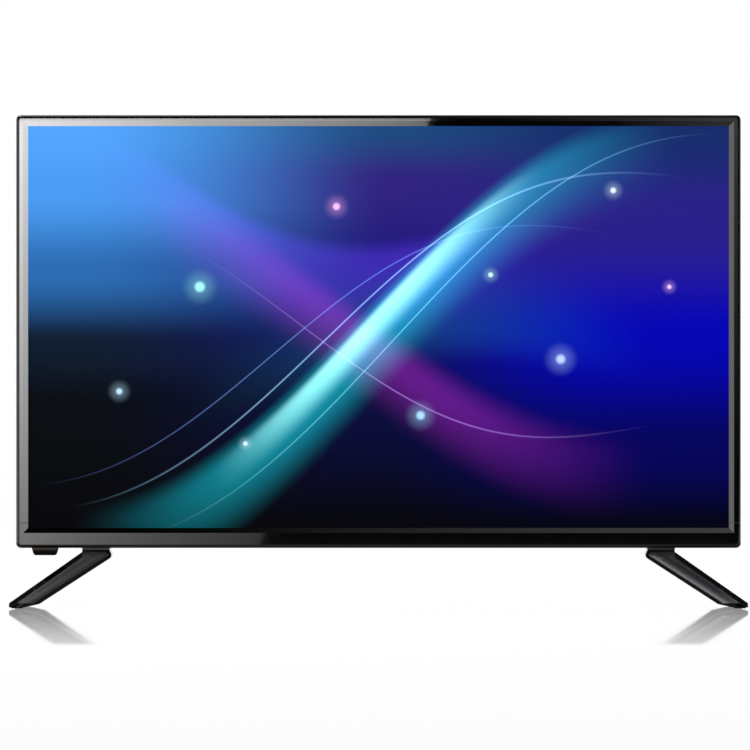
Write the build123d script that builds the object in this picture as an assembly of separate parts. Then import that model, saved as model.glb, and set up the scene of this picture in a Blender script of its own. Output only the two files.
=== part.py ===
from build123d import *
import math
import os

# A flat screen television of the 32-inch class on two splayed feet, in millimetres.
# +X is the viewer's right, +Y points away from the viewer and +Z is up.
# The origin lies on the table, midway between the four foot pads.

# Case as a whole
case_width = 725.0
case_height = 433.0
case_lift = 59.0
case_front_y = -32.0
case_corner = 5.0
overrun = 1.0
seat_gap = 0.3

# Front bezel
side_border = 12.0
top_border = 11.0
bottom_border = 20.0
joint_lift = 25.0
joint_width = 0.4
joint_depth = 0.4
bezel_depth = 16.0
bezel_wall = 2.0
bezel_edge_radius = 3.4
flange_depth = 4.5
lip_width = 5.0
lip_drop = 2.6

# Screen module
cell_overlap = 4.5
cell_thickness = 1.4
cell_play = 0.4
ledge_reveal = 1.0
ledge_thickness = 1.5
stack_overlap = 6.0
sheet_thickness = 0.3
sheet_count = 3
diffuser_thickness = 2.0
module_margin = 8.2
tray_sheet = 0.8
tray_flange = 16.0
tray_slope_run = 22.5
tray_depth = 22.7
reflector_thickness = 0.4
reflector_margin = 3.0

# Backlight
led_bar_count = 3
led_bar_pitch_share = 0.332
led_bar_width = 14.0
led_bar_thickness = 1.2
led_count = 9
led_pitch_share = 0.1038
led_bar_end = 18.0
lens_radius = 7.5
lens_top_radius = 5.5
lens_height = 4.5
post_base_radius = 5.0
post_tip_radius = 1.5
post_columns = 3
leds_between_posts = 3

# Rear cover
cover_wall = 2.5
cover_play = 0.2
cover_rim_overlap = 3.5
cover_back_y = 7.5
cover_edge_radius = 8.0
bulge_side_inset = 50.5
bulge_drop_share = 0.2259
bulge_back_y = 48.0
bulge_knee_y = 32.0
bulge_side_draft = 0.75
bulge_top_draft = 1.0
bulge_bottom_draft = 1.15
bulge_round = 11.0

# Vents in the rear cover
vent_width = 3.2
vent_pitch = 8.0
top_vent_count = 44
top_vent_near = 6.0
top_vent_far = 7.0
back_vent_count = 44
back_vent_low_share = 0.186
back_vent_high_share = 0.575
bottom_vent_count = 18
bottom_vent_length = 26.0
speaker_vent_count = 12

# Wall-bracket fixing
vesa_width = 200.0
vesa_height = 100.0
vesa_mid_share = 0.43
vesa_hole_radius = 1.65
vesa_post_radius = 5.0
vesa_post_gap = 0.5
vesa_post_proud = 0.2
vesa_thread_depth = 16.0
vesa_base_radius = 8.5
vesa_base_height = 2.0

# Rear cover screws
cover_boss_radius = 5.0
cover_boss_wall = 1.3
cover_screw_head_radius = 3.0
cover_screw_head_height = 2.0
cover_screw_radius = 1.5
cover_screw_hole_play = 0.2
cover_screw_well_floor = 3.0
cover_screw_tip_gap = 0.4
cover_screw_top_shares = (0.3034, 0.8828)
cover_screw_bottom_inset = 36.5
cover_screw_low_lift = 66.0
cover_screw_high_share = 0.73

# Circuit boards
board_thickness = 1.6
board_standoff = 7.0
standoff_radius = 3.5
standoff_bore_radius = 1.2
board_inner_gap = 14.0
board_height = 160.0
board_lift = 57.0
board_screw_inset = 6.0
board_screw_head_radius = 2.8
board_screw_head_height = 1.8
board_screw_play = 0.3
bay_board_gap = 2.0
timing_board_width = 110.0
timing_board_height = 34.0
timing_board_lift = 60.0
source_board_share = 0.58
source_board_height = 11.0
source_board_thickness = 1.0
lead_thickness = 0.6
lead_width = 6.0
ribbon_width = 34.0
ribbon_thickness = 0.4
ribbon_gap = 0.8

# Side socket bay, on the viewer's right
bay_inset = 98.5
jack_bay_lift = 62.0
jack_bay_height = 154.0
panel_thickness = 1.5
panel_margin = 4.0
socket_proud = 1.2
socket_play = 0.3
window_margin = 2.0
hdmi_count = 3
hdmi_first_lift = 80.0
hdmi_pitch = 23.0
hdmi_width = 15.0
hdmi_height = 6.1
hdmi_depth = 11.5
hdmi_shell = 0.5
hdmi_tongue_width = 10.2
hdmi_tongue_thickness = 1.2
usb_count = 2
usb_after_hdmi = 24.0
usb_pitch = 21.0
usb_width = 13.1
usb_height = 6.0
usb_depth = 14.0
usb_shell = 0.4
usb_tongue_width = 11.1
usb_tongue_thickness = 1.8
phones_after_usb = 22.0
phones_body = 9.0
phones_depth = 14.0
phones_nose_radius = 3.6
phones_bore_radius = 1.8
phones_bore_depth = 12.0

# Rear socket recess
recess_floor_y = 30.0
recess_side_gap = 12.0
recess_width = 112.0
recess_lift = 70.0
recess_height = 40.0
recess_corner = 3.0
av_count = 3
av_pitch = 14.0
av_inset = 100.0
av_block_margin = 2.0
av_block_height = 12.0
av_barrel_radius = 4.15
av_barrel_length = 10.0
av_bore_radius = 1.6
av_bore_depth = 8.0
av_ring_radius = 5.2
av_ring_thickness = 1.0
av_insulator_radius = 3.0
av_insulator_set = 0.8
aerial_inset = 52.0
aerial_can_width = 18.0
aerial_can_height = 26.0
aerial_hex_radius = 6.4
aerial_hex_thickness = 2.0
aerial_barrel_radius = 4.7
aerial_barrel_length = 10.0
aerial_bore_radius = 0.6
aerial_bore_depth = 6.0
vga_inset = 23.0
vga_plate_width = 31.0
vga_plate_height = 12.5
vga_shell_width = 16.9
vga_shell_height = 8.3
vga_shell_rise = 5.8
vga_shell_wall = 0.5
vga_shell_angle = 80.0
vga_nut_spacing = 25.0
vga_nut_radius = 2.7
vga_nut_rise = 5.0

# Mains inlet, on the viewer's left
mains_bay_lift = 62.0
mains_bay_height = 70.0
inlet_lift = 96.0
inlet_width = 22.0
inlet_height = 14.0
inlet_depth = 20.0
inlet_mouth_width = 16.6
inlet_mouth_height = 9.0
inlet_mouth_round = 4.4
inlet_mouth_depth = 11.0
inlet_pin_pitch = 8.6
inlet_pin_radius = 1.18
inlet_pin_length = 9.0

# Power board and main board parts
transformer_size = (32.0, 20.0, 28.0)
transformer_share = 0.57
transformer_lift = 104.0
coil_radius = 9.0
capacitor_radius = 9.0
capacitor_length = 30.0
capacitor_share = 0.32
capacitor_lift = 168.0
capacitor_vent = 0.6
power_sink_size = (58.0, 24.0, 2.0)
power_sink_lifts = (126.0, 196.0)
power_sink_share = 0.57
power_sink_tab = 8.0
filter_coil_radius = 10.0
filter_coil_hole = 4.5
filter_coil_thickness = 12.0
filter_coil_share = 0.21
filter_coil_lift = 130.0
soc_sink_size = 36.0
soc_sink_base = 2.5
soc_sink_height = 14.0
soc_sink_fins = 7
soc_sink_fin = 1.2
soc_chip_size = 24.0
soc_chip_thickness = 1.8
soc_share = 0.625
soc_lift = 160.0
chip_thickness = 1.2
chip_sizes = ((14.0, 10.0), (14.0, 10.0), (8.0, 8.0), (6.0, 10.0))
chip_shares = (0.4, 0.4, 0.18, 0.86)
chip_lifts = (176.0, 156.0, 190.0, 196.0)
header_size = (18.0, 6.0, 5.0)
header_lift = 111.0

# Speakers
speaker_outer_inset = 112.5
speaker_length = 128.0
speaker_depth = 21.0
speaker_height = 26.0
speaker_wall = 2.0
speaker_front_y = 5.5
speaker_cone_length = 62.0
speaker_cone_width = 15.0
speaker_ring = 1.6
speaker_dish = 1.4
speaker_magnet_radius = 7.0
speaker_magnet_height = 9.0
gasket_width = 8.0
speaker_round = 3.0

# Keys on the right edge
key_names = ("power", "source", "menu", "channel_up", "channel_down", "volume_up", "volume_down")
key_pitch = 18.0
key_first_lift = 86.0
key_length = 11.0
key_width = 6.0
key_round = 1.4
key_proud = 0.8
key_flange = 1.2
key_flange_thickness = 1.5
key_flange_gap = 0.3
key_window_gap = 0.3
key_travel = 0.5
key_stem_radius = 1.6
key_mid_y = -9.0
key_board_inset = 17.0
key_board_width = 14.0
key_board_end = 10.0
key_board_thickness = 1.4
tact_size = 6.0
tact_height = 3.5
tact_plunger_radius = 1.6
tact_plunger_height = 0.8
carrier_thickness = 1.6
carrier_foot = 3.0

# Infra-red receiver pod under the left corner
pod_inset = 29.0
pod_width = 27.0
pod_foot_width = 22.5
pod_depth = 15.0
pod_foot_depth = 12.0
pod_drop = 7.3
pod_mid_y = -23.6
pod_round = 2.4
pod_neck_width = 18.5
pod_neck_depth = 6.8
pod_neck_rise = 1.2
pod_wall = 1.2
ir_board_width = 22.0
ir_board_thickness = 1.2
ir_receiver_size = (5.6, 2.6, 5.4)
ir_dome_radius = 1.6
ir_dome_share = 0.4
ir_receiver_x = 4.5
status_led_radius = 1.5
status_led_length = 5.0
status_led_round_share = 0.5
status_led_x = -4.5

# Feet
foot_depth = 190.0
foot_collar_thickness = 1.8
foot_collar_front_y = -28.5
foot_collar_back_y = 26.0
foot_top_z = case_lift - foot_collar_thickness
foot_outer_inset = 66.0
foot_outer_straight = 2.2
foot_toe_inset = -4.8
foot_toe_rise = 4.2
foot_inner_inset = 93.0
foot_inner_corner_inset = 96.3
foot_inner_corner_drop = 7.0
foot_inner_foot_inset = 25.5
foot_inner_foot_rise = 3.4
foot_heel_inset = 10.5
foot_corner_round = 4.0
foot_upper_bevel = 6.0
foot_lower_bevel = 4.0
foot_slope_share = 0.3
foot_long_edge = 60.0
foot_hub_front_y = -23.0
foot_hub_back_y = 28.0
foot_crotch_front_y = -4.0
foot_crotch_back_y = 12.0
foot_crotch_z = 37.0
foot_toe_length = 25.0
foot_spigot_width = 22.0
foot_spigot_front_y = -14.0
foot_spigot_back_y = 24.0
foot_spigot_round = 4.0
foot_spigot_root = 4.0
foot_screw_inset = 80.0
foot_screw_y = (-6.0, 16.0)
foot_screw_radius = 2.0
foot_screw_head_radius = 3.6
foot_screw_head_height = 2.6
foot_screw_play = 0.3
foot_screw_grip = 9.0
foot_screw_nut_radius = 4.5
foot_screw_nut_height = 4.0
pad_length = 17.0
pad_side_gap = 2.0
pad_toe_gap = 3.0
pad_round = 3.0
pad_proud = 1.0
pad_recess = 0.8
pad_play = 0.2
bracket_sheet = 2.0
bracket_width = 26.0
bracket_front_y = -13.0
bracket_back_y = 22.0
bracket_rise = 92.0
bracket_gusset_rise = 34.0

# Places worked out from the sizes above
case_half = case_width / 2
case_top_z = case_lift + case_height
opening_width = case_width - 2 * side_border
opening_height = case_height - top_border - bottom_border
case_mid_z = case_lift + case_height / 2
opening_top_z = case_top_z - top_border
opening_mid_z = opening_top_z - opening_height / 2
bezel_back_y = case_front_y + bezel_depth
cell_front_y = case_front_y + flange_depth
cell_back_y = cell_front_y + cell_thickness
stack_front_y = cell_back_y + ledge_thickness
sheets_back_y = stack_front_y + sheet_thickness * sheet_count
diffuser_back_y = sheets_back_y + diffuser_thickness
flange_back_y = diffuser_back_y + tray_sheet
tray_floor_y = diffuser_back_y + tray_depth
tray_back_y = tray_floor_y + tray_sheet
stack_width = opening_width + 2 * stack_overlap
stack_height = opening_height + 2 * stack_overlap
tray_mouth_width = stack_width - 2 * tray_flange
tray_mouth_height = stack_height - 2 * tray_flange
tray_floor_width = tray_mouth_width - 2 * tray_slope_run
tray_floor_height = tray_mouth_height - 2 * tray_slope_run
led_pitch = tray_floor_width * led_pitch_share
led_bar_pitch = tray_floor_height * led_bar_pitch_share
board_front_y = tray_back_y + board_standoff
board_back_y = board_front_y + board_thickness
board_bottom_z = case_lift + board_lift
cover_front_y = bezel_back_y - cover_rim_overlap
cover_inset = bezel_wall + cover_play
cover_half = case_half - cover_inset
cover_bottom_z = case_lift + cover_inset
cover_top_z = case_top_z - cover_inset
cover_inner_y = cover_back_y - cover_wall
bulge_inner_y = bulge_back_y - cover_wall
bulge_top_z = cover_top_z - case_height * bulge_drop_share
bulge_flat_top_z = bulge_top_z - (bulge_back_y - cover_back_y) * bulge_top_draft
bulge_half = case_half - bulge_side_inset
bay_wall_x = case_half - bay_inset
bay_inner_x = bay_wall_x - cover_wall
panel_inner_x = bay_inner_x - panel_thickness
board_edge_x = panel_inner_x - bay_board_gap
board_width = board_edge_x - vesa_width / 2 - board_inner_gap
recess_right_x = board_edge_x - recess_side_gap
av_first_x = recess_right_x - av_inset
aerial_x = recess_right_x - aerial_inset
vga_x = recess_right_x - vga_inset
pod_mid_x = pod_inset - case_half
source_board_width = case_width * source_board_share
speaker_inner_x = case_half - speaker_outer_inset - speaker_length
vesa_mid_z = case_lift + case_height * vesa_mid_share
screw_line_x = stack_width / 2 - tray_flange / 2
screw_line_top_z = opening_mid_z + stack_height / 2 - tray_flange / 2
screw_line_bottom_z = opening_mid_z - stack_height / 2 + tray_flange / 2
screw_seat_y = flange_back_y + cover_screw_well_floor
recess_inner_y = recess_floor_y - cover_wall
rear_panel_front_y = recess_inner_y - panel_thickness
recess_mid_z = case_lift + recess_lift + recess_height / 2
key_board_x = case_half - key_board_inset
hdmi_lifts = [hdmi_first_lift + index * hdmi_pitch for index in range(hdmi_count)]
usb_lifts = [hdmi_lifts[-1] + usb_after_hdmi + index * usb_pitch for index in range(usb_count)]
phones_lift = usb_lifts[-1] + phones_after_usb
tact_top_x = key_board_x + key_board_thickness + tact_height
key_wall_inner_x = cover_half - cover_wall
foot_screw_x = case_half - foot_screw_inset
foot_spigot_mid_y = (foot_spigot_front_y + foot_spigot_back_y) / 2
foot_spigot_depth = foot_spigot_back_y - foot_spigot_front_y
cover_inner_z = cover_bottom_z + cover_wall
pod_neck_top_z = case_lift + bezel_wall + pod_neck_rise
vesa_face_y = bulge_back_y + vesa_post_proud


def block(x_low, x_high, y_low, y_high, z_low, z_high):
    """A plain block between two corners."""
    size = (x_high - x_low, y_high - y_low, z_high - z_low)
    middle = ((x_low + x_high) / 2, (y_low + y_high) / 2, (z_low + z_high) / 2)
    return Pos(*middle) * Box(*size)


def facing(y, x=0, z=0):
    """The plane that faces the viewer at depth y: its own axes are +X and +Z."""
    return Plane(origin=(x, y, z), x_dir=(1, 0, 0), z_dir=(0, -1, 0))


def upright(outline, y_near, y_far, x=0, z=0):
    """An outline drawn in X and Z, carried back from y_near to y_far."""
    return extrude(facing(y_near, x, z) * outline, amount=y_near - y_far)


def rounded_plate(width, height, corner, y_near, y_far, x=0, z=0):
    """A plate that faces the viewer, with round corners."""
    return upright(RectangleRounded(width, height, corner), y_near, y_far, x, z)


def rod_y(radius, y_near, y_far, x, z):
    """A round rod along Y."""
    return upright(Circle(radius), y_near, y_far, x, z)


def rod_x(radius, x_low, x_high, y, z):
    """A round rod along X."""
    plane = Plane(origin=(x_low, y, z), x_dir=(0, 1, 0), z_dir=(1, 0, 0))
    return extrude(plane * Circle(radius), amount=x_high - x_low)


def rod_z(radius, z_low, z_high, x, y):
    """A round rod along Z."""
    return extrude(Plane((x, y, z_low)) * Circle(radius), amount=z_high - z_low)


def frustum(near, far, y_near, y_far, z=0):
    """A four-sided taper between two (width, height) sections."""
    ends = [facing(y_near, 0, z) * Rectangle(*near), facing(y_far, 0, z) * Rectangle(*far)]
    return loft(ends, ruled=True)


def spread(count, pitch):
    """Offsets of evenly spaced copies about the middle."""
    return [(index - (count - 1) / 2) * pitch for index in range(count)]


def mirrored(shape):
    """The same piece on the other side of the set."""
    return mirror(shape, about=Plane.YZ)


def pair(shape):
    """A piece and its mirror image, as two solids."""
    return [shape, mirrored(shape)]


# Front bezel

def pod_window(clearance):
    """The round-ended opening that the receiver pod's neck goes through."""
    width = pod_neck_width + 2 * clearance
    depth = pod_neck_depth + 2 * clearance
    return RectangleRounded(width, depth, pod_round + clearance)


def front_bezel():
    body = rounded_plate(case_width, case_height, case_corner, case_front_y, bezel_back_y, z=case_mid_z)
    front_edges = body.faces().sort_by(Axis.Y)[0].edges()
    body = fillet(front_edges, bezel_edge_radius)
    inside = (case_width - 2 * bezel_wall, case_height - 2 * bezel_wall, case_corner - bezel_wall)
    body -= rounded_plate(*inside, cell_front_y, bezel_back_y + overrun, z=case_mid_z)
    window = Rectangle(opening_width, opening_height)
    body -= upright(window, case_front_y, cell_front_y + overrun, z=opening_mid_z)
    slope = lip_width / lip_drop
    wide = 2 * (lip_width + overrun * slope)
    near = (opening_width + wide, opening_height + wide)
    far = (opening_width, opening_height)
    body -= frustum(near, far, case_front_y - overrun, case_front_y + lip_drop, opening_mid_z)
    hole = Plane((pod_mid_x, pod_mid_y, case_lift - overrun)) * pod_window(seat_gap)
    body -= extrude(hole, amount=bezel_wall + 2 * overrun)
    return body - Compound(pair(bezel_joint()))


def bezel_joint():
    """The fine line where the lower trim meets the frame, across the right border and down its edge."""
    low = case_lift + joint_lift
    face = (
        case_half - side_border + lip_width, case_half + overrun,
        case_front_y - overrun, case_front_y + joint_depth
    )
    edge = (case_half - joint_depth, case_half + overrun, case_front_y, bezel_back_y + overrun)
    return block(*face, low, low + joint_width) + block(*edge, low, low + joint_width)


# Screen module

def lcd_cell():
    width = opening_width + 2 * cell_overlap
    height = opening_height + 2 * cell_overlap
    return upright(Rectangle(width, height), cell_front_y, cell_back_y, z=opening_mid_z)


def middle_frame():
    width = opening_width + 2 * module_margin
    height = opening_height + 2 * module_margin
    body = rounded_plate(
        width, height, module_margin - stack_overlap, cell_front_y, flange_back_y, z=opening_mid_z
    )
    cell_seat = Rectangle(
        opening_width + 2 * (cell_overlap + cell_play), opening_height + 2 * (cell_overlap + cell_play)
    )
    body -= upright(cell_seat, cell_front_y - overrun, cell_back_y, z=opening_mid_z)
    window = Rectangle(opening_width + 2 * ledge_reveal, opening_height + 2 * ledge_reveal)
    body -= upright(window, cell_front_y - overrun, flange_back_y + overrun, z=opening_mid_z)
    stack_seat = Rectangle(stack_width + 2 * cell_play, stack_height + 2 * cell_play)
    return body - upright(stack_seat, stack_front_y, flange_back_y + overrun, z=opening_mid_z)


def optical_sheets():
    outline = Rectangle(stack_width, stack_height)
    return [
        upright(
            outline, stack_front_y + i * sheet_thickness,
            stack_front_y + (i + 1) * sheet_thickness, z=opening_mid_z
        )
        for i in range(sheet_count)
    ]


def diffuser_plate():
    return upright(Rectangle(stack_width, stack_height), sheets_back_y, diffuser_back_y, z=opening_mid_z)


def back_tray():
    slope = tray_slope_run / tray_depth
    skin = tray_sheet * math.hypot(1, slope)
    outer_near = (tray_mouth_width + 2 * skin, tray_mouth_height + 2 * skin)
    shrink = 2 * slope * tray_sheet
    outer_far = (tray_floor_width + 2 * skin - shrink, tray_floor_height + 2 * skin - shrink)
    body = upright(Rectangle(stack_width, stack_height), diffuser_back_y, flange_back_y, z=opening_mid_z)
    body += frustum(outer_near, outer_far, diffuser_back_y, tray_back_y, opening_mid_z)
    hollow_near = (tray_mouth_width, tray_mouth_height)
    hollow_far = (tray_floor_width, tray_floor_height)
    body -= frustum(hollow_near, hollow_far, diffuser_back_y, tray_floor_y, opening_mid_z)
    for x, z in board_screw_places():
        body += rod_y(standoff_radius, tray_back_y, board_front_y, x, z)
        body -= rod_y(standoff_bore_radius, tray_back_y, board_front_y + overrun, x, z)
    for x, z in cover_screw_places():
        body -= rod_y(cover_screw_radius, diffuser_back_y - overrun, flange_back_y + overrun, x, z)
    return body


def reflector_sheet():
    floor_y = tray_floor_y - led_bar_thickness
    width = tray_floor_width - 2 * reflector_margin
    height = tray_floor_height - 2 * reflector_margin
    sheet = upright(Rectangle(width, height), floor_y - reflector_thickness, floor_y, z=opening_mid_z)
    hole = lens_radius + seat_gap
    for x, z in led_places():
        sheet -= rod_y(hole, floor_y - reflector_thickness - overrun, floor_y + overrun, x, z)
    return sheet


def led_places():
    rows = spread(led_bar_count, led_bar_pitch)
    return [(x, opening_mid_z + z) for z in rows for x in spread(led_count, led_pitch)]


def led_bars():
    length = (led_count - 1) * led_pitch + 2 * led_bar_end
    outline = Rectangle(length, led_bar_width)
    rows = [opening_mid_z + z for z in spread(led_bar_count, led_bar_pitch)]
    return [upright(outline, tray_floor_y - led_bar_thickness, tray_floor_y, z=z) for z in rows]


def led_lenses():
    base = facing(tray_floor_y - led_bar_thickness)
    tip = facing(tray_floor_y - led_bar_thickness - lens_height)
    dome = loft([base * Circle(lens_radius), tip * Circle(lens_top_radius)], ruled=True)
    return [Pos(x, 0, z) * dome for x, z in led_places()]


def diffuser_posts():
    base_y = tray_floor_y - led_bar_thickness - reflector_thickness
    base = facing(base_y) * Circle(post_base_radius)
    tip = facing(diffuser_back_y) * Circle(post_tip_radius)
    post = loft([base, tip], ruled=True)
    rows = spread(led_bar_count - 1, led_bar_pitch)
    columns = spread(post_columns, leds_between_posts * led_pitch)
    return [Pos(x, 0, opening_mid_z + z) * post for z in rows for x in columns]


# Rear cover

def bulge_profiles():
    """The bulge's plan and side outlines: the plan in X and Y, the side in Y and Z."""
    start = cover_back_y - cover_edge_radius - cover_wall - overrun
    deep = bulge_back_y - cover_back_y
    wide = bulge_half
    narrow = wide - deep * bulge_side_draft
    high = bulge_top_z
    low_back = cover_bottom_z + (bulge_back_y - bulge_knee_y) * bulge_bottom_draft
    plan = [
        (-wide, start),
        (wide, start),
        (wide, cover_back_y),
        (narrow, bulge_back_y),
        (-narrow, bulge_back_y),
        (-wide, cover_back_y),
    ]
    side = [
        (start, cover_bottom_z),
        (bulge_knee_y, cover_bottom_z),
        (bulge_back_y, low_back),
        (bulge_back_y, bulge_flat_top_z),
        (cover_back_y, high),
        (start, high),
    ]
    return Polygon(*plan, align=None), Polygon(*side, align=None)


def bulge_body(inset):
    """The housing for boards and speakers, or its hollow when inset by the wall."""
    plan, side = bulge_profiles()
    if inset:
        plan = offset(plan, -inset, kind=Kind.INTERSECTION)
        side = offset(side, -inset, kind=Kind.INTERSECTION)
    height = cover_top_z - cover_bottom_z + overrun
    tall = extrude(Plane((0, 0, cover_bottom_z - overrun)) * plan, amount=height, dir=(0, 0, 1))
    across = Plane(origin=(-case_half, 0, 0), x_dir=(0, 1, 0), z_dir=(1, 0, 0))
    body = tall & extrude(across * side, amount=case_width, dir=(1, 0, 0))
    low_z = cover_bottom_z + inset + overrun
    rounded = []
    for edge in body.edges():
        middle = edge.center()
        seat_side = middle.Z < low_z and abs(middle.X) > overrun
        if middle.Y > cover_back_y + overrun and not seat_side:
            rounded.append(edge)
    return fillet(rounded, bulge_round - inset)


def jack_bay(grow):
    """The side bay's air, grown by a wall where the hollow is cut."""
    low = case_lift + jack_bay_lift - grow
    return block(
        bay_wall_x - grow, case_half, cover_back_y - grow,
        bulge_back_y + overrun, low, low + jack_bay_height + 2 * grow
    )


def mains_bay(grow):
    """The mains bay's air, grown by a wall where the hollow is cut."""
    low = case_lift + mains_bay_lift - grow
    return block(
        -case_half, -bay_wall_x + grow, cover_back_y - grow,
        bulge_back_y + overrun, low, low + mains_bay_height + 2 * grow
    )


def rear_recess(grow):
    """The rear socket recess's air, grown by a wall where the hollow is cut."""
    middle_x = recess_right_x - recess_width / 2
    size = (recess_width + 2 * grow, recess_height + 2 * grow, recess_corner + grow)
    return rounded_plate(*size, recess_floor_y - grow, bulge_back_y + overrun, x=middle_x, z=recess_mid_z)


def cover_screw_places():
    tops = [
        (side * case_half * share, screw_line_top_z)
        for share in cover_screw_top_shares
        for side in (-1, 1)
    ]
    bottoms = [(side * (case_half - cover_screw_bottom_inset), screw_line_bottom_z) for side in (-1, 1)]
    side_lifts = (cover_screw_low_lift, case_height * cover_screw_high_share)
    sides = [(side * screw_line_x, case_lift + lift) for lift in side_lifts for side in (-1, 1)]
    return tops + bottoms + sides


def vesa_places():
    return [(x, vesa_mid_z + z) for x in spread(2, vesa_width) for z in spread(2, vesa_height)]


def upright_slots(count, y_near, y_far, z_low, z_high):
    """A row of upright slots about the middle of the set."""
    half = vent_width / 2
    return [block(x - half, x + half, y_near, y_far, z_low, z_high) for x in spread(count, vent_pitch)]


def vent_slots():
    """Every slot in the cover: down the top slope, across the back, underneath and at the speakers."""
    slots = upright_slots(
        top_vent_count, cover_back_y + top_vent_near, bulge_back_y - top_vent_far,
        bulge_flat_top_z - cover_wall, bulge_top_z,
    )
    top_post_z = vesa_mid_z + vesa_height / 2
    room = bulge_flat_top_z - top_post_z
    row_low, row_high = top_post_z + room * back_vent_low_share, top_post_z + room * back_vent_high_share
    slots += upright_slots(
        back_vent_count, bulge_inner_y - overrun, bulge_back_y + overrun, row_low, row_high
    )
    below, above = cover_bottom_z - overrun, cover_inner_z + overrun
    reach = bottom_vent_length / 2
    slots += upright_slots(bottom_vent_count, -reach, reach, below, above)
    start = speaker_front_y + (speaker_depth - speaker_cone_width) / 2
    middle = speaker_inner_x + speaker_length / 2
    half = vent_width / 2
    for side in (-1, 1):
        for step in spread(speaker_vent_count, speaker_cone_length / speaker_vent_count):
            x = side * middle + step
            slots.append(block(x - half, x + half, start, start + speaker_cone_width, below, above))
    return slots


def key_places():
    """Middle heights of the keys, the first name at the top."""
    last = len(key_names) - 1
    return [case_lift + key_first_lift + (last - index) * key_pitch for index in range(len(key_names))]


def rear_cover():
    width = 2 * cover_half
    height = cover_top_z - cover_bottom_z
    corner = case_corner - bezel_wall
    shell = rounded_plate(width, height, corner, cover_front_y, cover_back_y, z=case_mid_z)
    shell = fillet(shell.faces().sort_by(Axis.Y)[-1].edges(), cover_edge_radius)
    shell = shell + bulge_body(0) - jack_bay(0) - mains_bay(0) - rear_recess(0)
    hollow = rounded_plate(
        width - 2 * cover_wall, height - 2 * cover_wall, corner - cover_wall + cover_play,
        cover_front_y - overrun, cover_inner_y, z=case_mid_z,
    )
    hollow = fillet(hollow.faces().sort_by(Axis.Y)[-1].edges(), cover_edge_radius - cover_wall)
    hollow = hollow + bulge_body(cover_wall)
    hollow = hollow - jack_bay(cover_wall) - mains_bay(cover_wall) - rear_recess(cover_wall)
    shell -= hollow
    for x, z in cover_screw_places():
        shell += rod_y(cover_boss_radius, flange_back_y, cover_inner_y + overrun, x, z)
    well = cover_boss_radius - cover_boss_wall
    through = cover_screw_radius + cover_screw_hole_play
    for x, z in cover_screw_places():
        shell -= rod_y(well, screw_seat_y, cover_back_y + overrun, x, z)
        shell -= rod_y(through, flange_back_y - overrun, cover_back_y, x, z)
    for x, z in vesa_places():
        shell -= rod_y(
            vesa_post_radius + vesa_post_gap, bulge_inner_y - overrun, bulge_back_y + overrun, x, z
        )
    shell -= Compound(vent_slots())
    shell -= socket_windows()
    shell -= key_windows()
    shell -= foot_cut_outs()
    return shell


def socket_windows():
    """Openings in the cover that the sockets look out of."""
    low_y = board_back_y - socket_play
    side = block(
        bay_inner_x - overrun, bay_wall_x + overrun, low_y, board_back_y + phones_body + window_margin,
        case_lift + hdmi_lifts[0] - hdmi_width / 2 - window_margin, case_lift + phones_lift + phones_body,
    )
    half_width = inlet_width / 2 + socket_play
    mains = block(
        -bay_wall_x - overrun, -bay_inner_x + overrun, low_y, board_back_y + inlet_height + socket_play,
        case_lift + inlet_lift - half_width, case_lift + inlet_lift + half_width,
    )
    holes = [side, mains]
    floor = (recess_inner_y - overrun, recess_floor_y + overrun)
    for x in av_places():
        holes.append(rod_y(av_ring_radius + socket_play, *floor, x, recess_mid_z))
    holes.append(rod_y(aerial_hex_radius + socket_play, *floor, aerial_x, recess_mid_z))
    plate = RectangleRounded(
        vga_plate_width + 2 * socket_play, vga_plate_height + 2 * socket_play, vga_nut_radius
    )
    holes.append(upright(plate, *floor, vga_x, recess_mid_z))
    return Compound(holes)


def key_windows():
    """Openings in the right edge that the keys stand out of."""
    plane = Plane(origin=(key_wall_inner_x - overrun, key_mid_y, 0), x_dir=(0, 1, 0), z_dir=(1, 0, 0))
    outline = RectangleRounded(key_width + 2 * key_window_gap, key_length + 2 * key_window_gap, key_round)
    return Compound(
        [extrude(plane * Pos(0, z) * outline, amount=cover_wall + 2 * overrun) for z in key_places()]
    )


def foot_cut_outs():
    """Openings underneath for the spigot of each foot."""
    return Compound(pair(spigot(seat_gap, cover_bottom_z - overrun, cover_inner_z + overrun)))


def cover_screws():
    screws = []
    for x, z in cover_screw_places():
        head = rod_y(cover_screw_head_radius, screw_seat_y, screw_seat_y + cover_screw_head_height, x, z)
        screws.append(
            head + rod_y(cover_screw_radius, diffuser_back_y + cover_screw_tip_gap, screw_seat_y, x, z)
        )
    return screws


def vesa_posts():
    """Steel posts on the tray that carry the wall bracket's four screws."""
    posts = []
    for x, z in vesa_places():
        post = rod_y(vesa_base_radius, tray_back_y, tray_back_y + vesa_base_height, x, z)
        post += rod_y(vesa_post_radius, tray_back_y, vesa_face_y, x, z)
        thread = rod_y(vesa_hole_radius, vesa_face_y - vesa_thread_depth, vesa_face_y + overrun, x, z)
        posts.append(post - thread)
    return posts


# Boards and what is soldered to them

def board_corners(x_middle, z_low, width, height):
    half_x = width / 2 - board_screw_inset
    half_z = height / 2 - board_screw_inset
    z_middle = z_low + height / 2
    return [(x_middle + sx * half_x, z_middle + sz * half_z) for sx in (-1, 1) for sz in (-1, 1)]


def board_screw_places():
    main = board_corners(board_edge_x - board_width / 2, board_bottom_z, board_width, board_height)
    power = [(-x, z) for x, z in main]
    timing = board_corners(0, case_lift + timing_board_lift, timing_board_width, timing_board_height)
    return main + power + timing


def board(x_low, x_high, z_low, height):
    """A bare board on the tray's posts."""
    body = block(x_low, x_high, board_front_y, board_back_y, z_low, z_low + height)
    for x, z in board_screw_places():
        if x_low < x < x_high:
            hole = cover_screw_radius + board_screw_play
            body -= rod_y(hole, board_front_y - overrun, board_back_y + overrun, x, z)
    return body


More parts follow.
